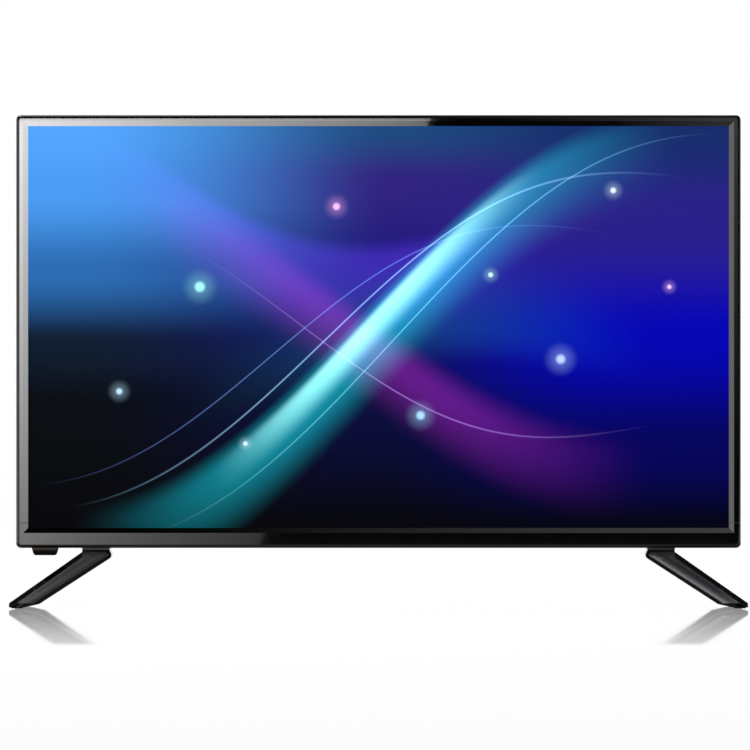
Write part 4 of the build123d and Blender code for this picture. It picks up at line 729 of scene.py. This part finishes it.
def add_lamp(name, place, aim, size, watts):
    """A soft lamp whose light falls on the set without showing in its gloss."""
    light = bpy.data.lights.new(name, "AREA")
    light.shape = "RECTANGLE"
    light.size, light.size_y = size
    light.energy = watts
    lamp = bpy.data.objects.new(name, light)
    bpy.context.scene.collection.objects.link(lamp)
    lamp.location = place
    lamp.rotation_euler = (Vector(aim) - Vector(place)).to_track_quat("-Z", "Y").to_euler()
    lamp.visible_glossy = False
    return lamp


def add_camera():
    """The photograph's view: level, square on, from far off, at the height of the set's middle."""
    data = bpy.data.cameras.new("camera")
    data.sensor_width = 36.0
    data.lens = 480.0
    data.clip_end = 60.0
    camera = bpy.data.objects.new("camera", data)
    bpy.context.scene.collection.objects.link(camera)
    camera.location = (-0.0035, -10.032, 0.232)
    camera.rotation_euler = (math.radians(90), 0, 0)
    bpy.context.scene.camera = camera


class TELEVISION_OT_studio(bpy.types.Operator):
    """Sets the floor, the backdrop, the lamps and the camera"""
    bl_idname = "television.studio"
    bl_label = "Studio"

    def execute(self, context):
        context.scene.view_settings.view_transform = "Standard"
        set_world()
        add_camera()
        corners = [
            (x * FLOOR_REACH, y * FLOOR_REACH, -FLOOR_GAP) for x, y in ((-1, -1), (1, -1), (1, 1), (-1, 1))
        ]
        stage_sheet("floor", corners, floor_top(), seen_by_camera=True)
        add_lamp("lamp_left", (-2.9, -1.5, 1.5), (0, 0, 0.1), (1.0, 1.0), 60)
        add_lamp("lamp_right", (2.4, -2.2, 1.6), (0, 0, 0.25), (1.4, 1.4), 8)
        add_lamp("lamp_back", (0.4, 2.8, 2.2), (0, 0, 0.25), (1.8, 1.2), 30)
        # The tall softbox whose slanted edge crosses the gloss bezel, and the black flag behind it
        stage_sheet("softbox_slanted", [
            (-0.47, FRONT_CARDS, 0.5145), (-0.47, FRONT_CARDS, 0.034),
            (-0.1353, FRONT_CARDS, 0.034), (0.058, FRONT_CARDS, 0.5145),
        ], graded_skin("slanted_softbox_skin", 11.2, 0.51, 0.05, -0.39, 0.40))
        stage_sheet("flag_front", [
            (-0.62, FRONT_FLAG, 0.034), (0.62, FRONT_FLAG, 0.034),
            (0.62, FRONT_FLAG, 0.80), (-0.62, FRONT_FLAG, 0.80),
        ], flag_cloth("front_flag_cloth", 0.62, (0.41, FRONT_FLAG, 0.56), 0.55))
        # What the sloping lip of the bezel sees: below, at both sides and above
        stage_sheet("softbox_low", [
            (-0.38, -0.44, 0.05), (0.052, -0.44, 0.05), (0.052, -0.23, 0.05), (-0.38, -0.23, 0.05),
        ], ramp_skin("low_softbox_skin", "X", ((-0.40, 10.5), (-0.19, 5.2), (-0.08, 3.5), (0.052, 1.8)), 0.3))
        stage_sheet("flag_low", [
            (0.052, -0.44, 0.05), (0.38, -0.44, 0.05), (0.38, -0.23, 0.05), (0.052, -0.23, 0.05),
        ], ramp_skin("low_flag_cloth", "X", ((0.052, 0.0), (0.25, 0.02), (0.40, 0.4)), 0.3))
        stage_sheet("softbox_right", [
            (1.58, -1.164, -0.1), (1.58, -1.164, 0.9), (1.377, -1.46, 0.9), (1.377, -1.46, -0.1),
        ], ramp_skin("right_softbox_skin", "Z", ((0.03, 2.2), (0.2, 4.0), (0.35, 5.8), (0.54, 9.0)), 0.01))
        stage_sheet("softbox_left", [
            (-1.9, -0.7, -0.1), (-1.9, -0.7, 0.9), (-1.35, -1.5, 0.9), (-1.35, -1.5, -0.1),
        ], glowing("left_softbox_skin", 1.5, 0.12))
        stage_sheet("softbox_top", [
            (-1.2, 1.0, 2.5), (1.2, 1.0, 2.5), (1.2, 2.8, 2.5), (-1.2, 2.8, 2.5),
        ], glowing("overhead_softbox_skin", 1.2, 0.6))
        stage_sheet("softbox_high_front", [
            (-0.8, -1.6, 1.5), (0.8, -1.6, 1.5), (0.8, -1.2, 1.9), (-0.8, -1.2, 1.9),
        ], ramp_skin("high_softbox_skin", "X", (
            (-0.31, 0.0), (-0.216, 0.013), (-0.155, 0.03), (-0.094, 0.077), (0.027, 0.168),
            (0.146, 0.283), (0.42, 0.55),
        ), 0.3))
        # Aimed at the right foot, whose inner half it brightens
        stage_sheet("softbox_above", [
            (-1.05, -0.85, 1.84), (0.07, -0.85, 2.28), (0.07, 0.35, 2.28), (-1.05, 0.35, 1.84),
        ], glowing("above_softbox_skin", 6.0, 0.05))
        return {"FINISHED"}


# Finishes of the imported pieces

class TELEVISION_OT_front(bpy.types.Operator):
    """Finishes the bezel, the receiver pod and the feet"""
    bl_idname = "television.front"
    bl_label = "Front and feet"

    def execute(self, context):
        colours = context.scene.television_colours
        dress(polished_abs(), "front_bezel")
        dress(foot_abs(), "foot_left", "foot_right")
        dress(smoked_acrylic_painted_light(), "ir_pod")
        # Satin grey ABS: a soft even grey that separates the black foot from the black case
        seat = moulding("satin_grey_abs", colours.seat, paint("#333333"), 0.45, 0.6 * MM, 0.004 * MM)
        dress(seat, "foot_collars")
        # Moulded rubber: dull and slightly dusty
        rubber = moulding("moulded_rubber", paint("#1a1a1a"), paint("#262625"), 0.85, 0.8 * MM, 0.016 * MM)
        dress(rubber, "foot_pads")
        return {"FINISHED"}


class TELEVISION_OT_screen(bpy.types.Operator):
    """Lights the screen and finishes the module behind it"""
    bl_idname = "television.screen"
    bl_label = "Screen and module"

    def execute(self, context):
        dress(lit_screen(), "lcd_cell")
        # Fine matt polycarbonate: a dead black that hides the module's edge
        frame_finish = moulding(
            "matt_black_polycarbonate", paint("#161617"), paint("#1e1e20"), 0.6, 0.5 * MM, 0.008 * MM)
        dress(frame_finish, "middle_frame")
        # Milky film and sheet: white that glows softly and shows no gloss
        milky = moulding("milky_acrylic_sheet", paint("#dfe2e4"), paint("#d4d8db"), 0.5, 1.5 * MM, 0.002 * MM)
        dress(milky, "optical_sheets", "diffuser_plate")
        # Foamed white polyester: chalky, with hardly a highlight
        chalky = moulding(
            "white_reflector_polyester", paint("#e6e6e4"), paint("#dddddb"), 0.8, 1.2 * MM, 0.008 * MM)
        dress(chalky, "reflector_sheet")
        # White lacquer on aluminium strip: smooth, with a soft even gloss
        strip = moulding(
            "white_lacquered_aluminium", paint("#d5d7d6"), paint("#c9cbca"), 0.35, 2.0 * MM, 0.004 * MM)
        dress(strip, "led_bars")
        # Clear acrylic and polycarbonate: light passes, and the rims look darker
        dress(clear_acrylic("clear_lens_acrylic", paint("#eef2f4"), 0.05), "led_lenses")
        dress(clear_acrylic("clear_post_polycarbonate", paint("#e6eaec"), 0.12), "diffuser_posts")
        dress(galvanised(), "back_tray", "foot_brackets")
        return {"FINISHED"}


class TELEVISION_OT_cover(bpy.types.Operator):
    """Finishes the rear cover and its wall-bracket posts"""
    bl_idname = "television.cover"
    bl_label = "Rear cover"

    def execute(self, context):
        colours = context.scene.television_colours
        # Spark-eroded texture in black polystyrene: a fine crackle that turns highlights to a satin haze
        back = moulding(
            "spark_eroded_black_polystyrene", colours.cover, paint("#232326"), 0.52, 1.3 * MM, 0.024 * MM)
        dress(back, "rear_cover")
        # Bright zinc plating with a cloudy blue-grey cast
        zinc = metal("zinc_plated_steel", paint("#b6bbc0"), paint("#989ea4"), 0.28, 0.48 * MM)
        dress(zinc, "vesa_posts", "board_screws")
        return {"FINISHED"}


class TELEVISION_OT_screws(bpy.types.Operator):
    """Makes the cross-head screws of the rear cover and of the feet"""
    bl_idname = "television.screws"
    bl_label = "Screws"

    def execute(self, context):
        # Black oxide on steel: dark, slightly oily, rubbed brighter where a driver has turned it
        oxide = metal("black_oxide_steel", paint("#34343a"), paint("#1e1e20"), 0.34, 0.7 * MM)
        seat_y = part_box("cover_screws")[1][1] - 2.0 * MM
        shank = seat_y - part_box("cover_screws")[0][1]
        model = cross_head_screw(
            head_radius=3.0 * MM, head_height=2.0 * MM, shank_radius=1.5 * MM, shank_length=shank,
            turn=(math.radians(-90), 0, 0), material=oxide)
        places = [(x * MM, seat_y, z * MM) for x, z in COVER_SCREWS]
        set_out(model, "cover_screw", places, stands_for="cover_screws")
        seat_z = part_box("foot_screws")[0][2] + 2.6 * MM
        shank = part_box("foot_screws")[1][2] - seat_z
        model = cross_head_screw(
            head_radius=3.6 * MM, head_height=2.6 * MM, shank_radius=2.0 * MM, shank_length=shank,
            turn=(math.radians(180), 0, 0), material=oxide)
        places = [(x * MM, y * MM, seat_z) for x, y in FOOT_SCREWS]
        set_out(model, "foot_screw", places, stands_for="foot_screws")
        return {"FINISHED"}


class TELEVISION_OT_boards(bpy.types.Operator):
    """Finishes the circuit boards, what stands on them and the speakers"""
    bl_idname = "television.boards"
    bl_label = "Boards and speakers"

    def execute(self, context):
        green = circuit_board("green_lacquered_board", paint("#0d4a24"), paint("#1c6a38"))
        tan = circuit_board("tan_paper_board", paint("#8c6a3a"), paint("#7a5a30"))
        dress(green, "source_board", "timing_board", "main_board", "key_board", "ir_board")
        dress(tan, "power_board")
        # Moulded black epoxy of chips and small components: a dull, even black
        epoxy = moulding("black_epoxy", paint("#191a1b"), paint("#232426"), 0.55, 0.3 * MM, 0.004 * MM)
        dress(epoxy, "main_board_chips", "ir_receiver", "tact_switches")
        # White PVC sheath of the flat leads: smooth, faintly yellowed
        sheath = moulding("white_pvc_sheath", paint("#c9c9c4"), paint("#b8b8b2"), 0.5, 0.9 * MM, 0.008 * MM)
        dress(sheath, "flat_leads")
        # Natural nylon: cream, with a waxy sheen
        nylon = moulding("natural_nylon", paint("#dcd9cd"), paint("#cfcbbd"), 0.45, 0.8 * MM, 0.004 * MM)
        dress(nylon, "board_headers")
        # Yellow polyester tape over wound copper: taut, with a soft gloss on its wraps
        tape = moulding("taped_windings", paint("#a98a2c"), paint("#8a6a1e"), 0.35, 2.5 * MM, 0.032 * MM)
        dress(tape, "power_coils")
        # Shrunk PVC sleeve: dark blue, tight and shiny
        sleeve = moulding("shrunk_pvc_sleeve", paint("#1c2430"), paint("#141a24"), 0.3, 3.0 * MM, 0.008 * MM)
        dress(sleeve, "bulk_capacitor")
        # Extruded aluminium: long faint streaks along each fin
        bare = metal("extruded_aluminium", paint("#b9bdc0"), paint("#a2a6aa"), 0.36, 0.6 * MM, (1, 1, 0.05))
        dress(bare, "heat_sinks")
        # Matt black ABS of the boxes: a dull skin with a fine even grain
        box = moulding("matt_black_abs", paint("#19191b"), paint("#222225"), 0.62, 0.9 * MM, 0.012 * MM)
        dress(box, "speaker_boxes", "key_carrier")
        # Treated paper cone: pressed pulp fibres, dull black
        cone = moulding("treated_paper_cone", paint("#17171a"), paint("#232326"), 0.75, 0.6 * MM, 0.02 * MM)
        dress(cone, "speaker_drivers")
        # Open polyurethane foam: dull charcoal with open cells
        foam = moulding("open_foam", paint("#2a2a2c"), paint("#1c1c1e"), 0.95, 0.9 * MM, 0.08 * MM)
        dress(foam, "speaker_gaskets")
        return {"FINISHED"}


class TELEVISION_OT_sockets(bpy.types.Operator):
    """Finishes the sockets, their panels and the mains inlet"""
    bl_idname = "television.sockets"
    bl_label = "Sockets"

    def execute(self, context):
        # Nickel plating on stamped steel: bright, with a faint warm cloud
        nickel = metal("nickel_plated_steel", paint("#c4c2bb"), paint("#a8a69f"), 0.2, 0.4 * MM)
        dress(nickel, "hdmi_sockets", "usb_sockets", "av_barrels", "aerial_socket", "vga_socket")
        # Matt black polystyrene panels, finer than the cover
        panel = moulding("matt_black_panel", paint("#131315"), paint("#1b1b1d"), 0.5, 0.6 * MM, 0.008 * MM)
        dress(panel, "terminal_panels", "av_block", "phones_socket", "mains_inlet")
        # Coloured polypropylene: bright, with a soft waxy gloss
        yellow = moulding(
            "yellow_polypropylene", paint("#e0b41c"), paint("#cfa314"), 0.38, 0.9 * MM, 0.004 * MM)
        dress(yellow, "av_yellow")
        white = moulding(
            "white_polypropylene", paint("#d9d8d2"), paint("#cccbc4"), 0.38, 0.9 * MM, 0.004 * MM)
        dress(white, "av_white")
        red = moulding("red_polypropylene", paint("#b3161a"), paint("#9c1115"), 0.38, 0.9 * MM, 0.004 * MM)
        dress(red, "av_red")
        # Turned brass under thin tin: warm grey
        brass = metal("tinned_brass", paint("#c9bd9a"), paint("#b3a684"), 0.24, 0.32 * MM)
        dress(brass, "inlet_pins")
        # Tinted acrylic: deep red, clear and glossy
        dress(clear_acrylic("red_tinted_acrylic", paint("#7a0f12"), 0.1), "status_led")
        return {"FINISHED"}


class TELEVISION_OT_tongues(bpy.types.Operator):
    """Makes the tongues in the flat sockets, and the contacts on them"""
    bl_idname = "television.tongues"
    bl_label = "Tongues and contacts"

    def execute(self, context):
        sizes = context.scene.television_sizes
        # Gold flash over nickel: thin, bright and warm
        gold = metal("gold_flashed_nickel", paint("#d8b25a"), paint("#c49a44"), 0.22, 0.5 * MM)
        # Glass-filled polyester: nearly matt
        black = moulding(
            "black_glass_filled_polyester", paint("#151516"), paint("#1e1e20"), 0.5, 0.4 * MM, 0.004 * MM)
        white = moulding(
            "white_glass_filled_polyester", paint("#d8d8d2"), paint("#c9c9c2"), 0.45, 0.4 * MM, 0.004 * MM)
        # A tongue's middle, width and thickness, and the number and pitch of its contacts, in mm
        for kind, centres, middle_y, width, thickness, count, pitch, plastic in (
            ("hdmi", HDMI_LIFTS, 13.45, 10.2, 1.2, 9, 1.0, black),
            ("usb", USB_LIFTS, 13.40, 11.1, 1.8, 4, 2.4, white),
        ):
            # A skin over the tongue, with its front edge bevelled
            tongue = start_piece(
                "tongue_model", bpy.ops.mesh.primitive_cube_add, size=1,
                location=(260 * MM, middle_y * MM, 0),
                scale=(8.2 * MM, (thickness + 0.1) * MM, (width + 0.1) * MM))
            pick_faces(tongue, lambda face: face.normal.x > 0.9)
            bpy.ops.mesh.bevel(offset=0.3 * MM, segments=2, affect="EDGES")
            close_piece(tongue, plastic)
            set_out(tongue, f"{kind}_tongue", [(0, 0, lift * MM) for lift in centres])
            # Contacts on both flat sides of the tongue
            contact = start_piece(
                "contact_model", bpy.ops.mesh.primitive_cube_add, size=1,
                location=(260.6 * MM, (middle_y - thickness / 2 - 0.07) * MM, -(count - 1) / 2 * pitch * MM),
                scale=(6.0 * MM, 0.08 * MM, sizes.contact_width))
            bpy.ops.mesh.bevel(offset=0.02 * MM, segments=1, affect="EDGES")
            row(contact, count, (0, 0, pitch * MM))
            row(contact, 2, (0, (thickness + 0.14) * MM, 0))
            close_piece(contact, gold)
            set_out(contact, f"{kind}_contacts", [(0, 0, lift * MM) for lift in centres])
        return {"FINISHED"}


class TELEVISION_OT_round_sockets(bpy.types.Operator):
    """Makes the ring of the headphone socket, and the thread and the insulator of the aerial socket"""
    bl_idname = "television.round_sockets"
    bl_label = "Round sockets"

    def execute(self, context):
        sizes = context.scene.television_sizes
        # Turned brass under nickel: bright, with a warm cloud
        nickel = metal("turned_nickel_plated_brass", paint("#c9c6bd"), paint("#aaa79f"), 0.2, 0.6 * MM)
        # Natural polyethylene: milky, with a waxy gloss
        milky = moulding(
            "natural_polyethylene", paint("#e2e2dc"), paint("#d6d6ce"), 0.4, 0.5 * MM, 0.004 * MM)
        # The plated ring round the bore of the headphone socket
        ring = start_piece(
            "phones_ring", bpy.ops.mesh.primitive_torus_add, major_radius=2.4 * MM, minor_radius=0.5 * MM,
            major_segments=48, minor_segments=12, location=PHONES_MOUTH, rotation=(0, math.radians(90), 0))
        bpy.ops.mesh.select_all(action="SELECT")
        bpy.ops.transform.resize(value=(0.5, 1, 1), center_override=PHONES_MOUTH)
        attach(close_piece(ring, nickel), "television")
        # The turns of the thread on the aerial socket, and the insulator round its centre
        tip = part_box("aerial_socket")[1][1]
        turns = 10
        thread = start_piece(
            "aerial_thread", bpy.ops.mesh.primitive_torus_add, major_radius=4.6 * MM, minor_radius=0.34 * MM,
            major_segments=64, minor_segments=8, rotation=(math.radians(90), 0, 0),
            location=(AERIAL[0], tip - 0.8 * MM - (turns - 1) * sizes.thread_pitch, AERIAL[1]))
        bpy.ops.object.mode_set(mode="OBJECT")
        bpy.ops.object.transform_apply(location=True, rotation=True, scale=True)
        row(thread, turns, (0, sizes.thread_pitch, 0))
        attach(close_piece(thread, nickel), "television")
        bead = start_piece(
            "aerial_insulator", bpy.ops.mesh.primitive_cylinder_add, vertices=48, radius=3.1 * MM,
            depth=0.7 * MM, rotation=(math.radians(-90), 0, 0),
            location=(AERIAL[0], tip - 0.25 * MM, AERIAL[1]))
        pick_faces(bead, lambda face: face.normal.z > 0.9)
        bpy.ops.mesh.bevel(offset=0.08 * MM, segments=2, affect="EDGES")
        bpy.ops.mesh.inset(thickness=2.2 * MM)
        bpy.ops.mesh.extrude_region_move(TRANSFORM_OT_translate={"value": (0, -0.4 * MM, 0)})
        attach(close_piece(bead, milky), "television")
        return {"FINISHED"}


class TELEVISION_OT_pin_socket(bpy.types.Operator):
    """Makes the insert of the fifteen-pin socket, with its three rows of holes"""
    bl_idname = "television.pin_socket"
    bl_label = "Fifteen-pin socket"

    def execute(self, context):
        # Glass-filled polyester: nearly matt
        blue = moulding(
            "blue_glass_filled_polyester", paint("#1f3f9c"), paint("#1a3585"), 0.45, 0.4 * MM, 0.004 * MM)
        floor = 30.0 * MM
        insert = start_piece(
            "vga_insert", bpy.ops.mesh.primitive_cube_add, size=1,
            location=(VGA[0], floor + 2.3 * MM, VGA[1]), scale=(15.0 * MM, 4.6 * MM, 6.7 * MM))
        pick_faces(insert, lambda face: face.normal.z > 0.9)
        bpy.ops.transform.resize(value=(0.84, 1, 1), center_override=(VGA[0], floor, VGA[1]))
        bpy.ops.mesh.select_all(action="SELECT")
        bpy.ops.mesh.bevel(offset=0.5 * MM, segments=2, affect="EDGES")
        for lift, shift in ((2.0, 0.0), (0.0, 1.1), (-2.0, 0.0)):
            pin = start_piece(
                "cutter", bpy.ops.mesh.primitive_cylinder_add, vertices=16, radius=0.5 * MM, depth=4 * MM,
                rotation=(math.radians(90), 0, 0),
                location=(VGA[0] - (4.4 - shift) * MM, floor + 4.6 * MM, VGA[1] + lift * MM))
            bpy.ops.object.mode_set(mode="OBJECT")
            bpy.ops.object.transform_apply(location=True, rotation=True, scale=True)
            row(pin, 5, (2.2 * MM, 0, 0))
            cut(insert, pin)
        bpy.ops.object.select_all(action="DESELECT")
        insert.select_set(True)
        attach(close_piece(insert, blue), "television")
        return {"FINISHED"}


class TELEVISION_OT_keys(bpy.types.Operator):
    """Finishes the seven keys"""
    bl_idname = "television.keys"
    bl_label = "Keys"

    def execute(self, context):
        # Satin black ABS, smoother than the cover so that the keys catch the light
        satin = moulding("satin_black_abs", paint("#1d1d20"), paint("#26262a"), 0.34, 0.7 * MM, 0.004 * MM)
        dress(satin, *KEYS)
        return {"FINISHED"}


class TELEVISION_OT_marks(bpy.types.Operator):
    """Makes the printed marks on the keys"""
    bl_idname = "television.marks"
    bl_label = "Key marks"

    def execute(self, context):
        # Pale pad-printed ink: a thin, matt and slightly uneven film
        ink = moulding("pad_printed_ink", paint("#c8c8c8"), paint("#b4b4b6"), 0.6, 0.2 * MM, 0.002 * MM)
        sizes = context.scene.television_sizes
        for key, strokes in KEY_STROKES.items():
            low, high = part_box(key)
            middle = (high[0], (low[1] + high[1]) / 2, (low[2] + high[2]) / 2)
            name = key.replace("key_", "mark_")
            bars = [{
                "size": 1,
                "rotation": (math.radians(lean), 0, 0),
                "location": (middle[0], middle[1] + back * MM, middle[2] + up * MM),
                "scale": (2 * sizes.mark_rise, length * MM, sizes.mark_stroke),
            } for back, up, length, lean in strokes]
            edge = {"offset": 0.3 * sizes.mark_rise, "segments": 1, "affect": "EDGES"}
            if key == "key_power":
                # The ring that the upright bar of this mark stands in
                mark = start_piece(
                    name, bpy.ops.mesh.primitive_torus_add, major_radius=1.45 * MM,
                    minor_radius=sizes.mark_stroke / 2, major_segments=40, minor_segments=8,
                    location=middle, rotation=(0, math.radians(90), 0))
                bpy.ops.mesh.select_all(action="SELECT")
                flatter = 2 * sizes.mark_rise / sizes.mark_stroke
                bpy.ops.transform.resize(value=(flatter, 1, 1), center_override=middle)
            else:
                mark = start_piece(name, bpy.ops.mesh.primitive_cube_add, **bars.pop(0))
                bpy.ops.mesh.bevel(**edge)
            bpy.ops.object.mode_set(mode="OBJECT")
            bpy.ops.object.transform_apply(location=True, rotation=True, scale=True)
            bpy.ops.object.mode_set(mode="EDIT")
            for bar in bars:
                bpy.ops.mesh.primitive_cube_add(**bar)
                bpy.ops.mesh.bevel(**edge)
            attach(close_piece(mark, ink), key)
        return {"FINISHED"}


OPERATORS = (
    TELEVISION_OT_studio, TELEVISION_OT_front, TELEVISION_OT_screen, TELEVISION_OT_cover,
    TELEVISION_OT_screws, TELEVISION_OT_boards, TELEVISION_OT_sockets, TELEVISION_OT_tongues,
    TELEVISION_OT_round_sockets, TELEVISION_OT_pin_socket, TELEVISION_OT_keys, TELEVISION_OT_marks,
)


class TELEVISION_PT_panel(bpy.types.Panel):
    """Lists the steps that dress the television"""
    bl_idname = "TELEVISION_PT_panel"
    bl_label = "Television"
    bl_space_type = "VIEW_3D"
    bl_region_type = "UI"
    bl_category = "Television"

    def draw(self, context):
        for group in (context.scene.television_sizes, context.scene.television_colours,
                      context.scene.studio_settings):
            for name in group.__annotations__:
                self.layout.prop(group, name)
        for operator in OPERATORS:
            self.layout.operator(operator.bl_idname)


GROUPS = (TelevisionSizes, TelevisionColours, StudioSettings)


def register():
    """Adds the classes, and the sizes, colours and studio settings."""
    for kind in (*GROUPS, *OPERATORS, TELEVISION_PT_panel):
        bpy.utils.register_class(kind)
    bpy.types.Scene.television_sizes = bpy.props.PointerProperty(type=TelevisionSizes)
    bpy.types.Scene.television_colours = bpy.props.PointerProperty(type=TelevisionColours)
    bpy.types.Scene.studio_settings = bpy.props.PointerProperty(type=StudioSettings)


def unregister():
    """Takes away what register added."""
    del bpy.types.Scene.studio_settings
    del bpy.types.Scene.television_colours
    del bpy.types.Scene.television_sizes
    for kind in reversed((*GROUPS, *OPERATORS, TELEVISION_PT_panel)):
        bpy.utils.unregister_class(kind)


def main():
    """Dresses the television."""
    register()
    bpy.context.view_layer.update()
    for operator in OPERATORS:
        group, name = operator.bl_idname.split(".")
        getattr(getattr(bpy.ops, group), name)()


if __name__ == "__main__":
    main()
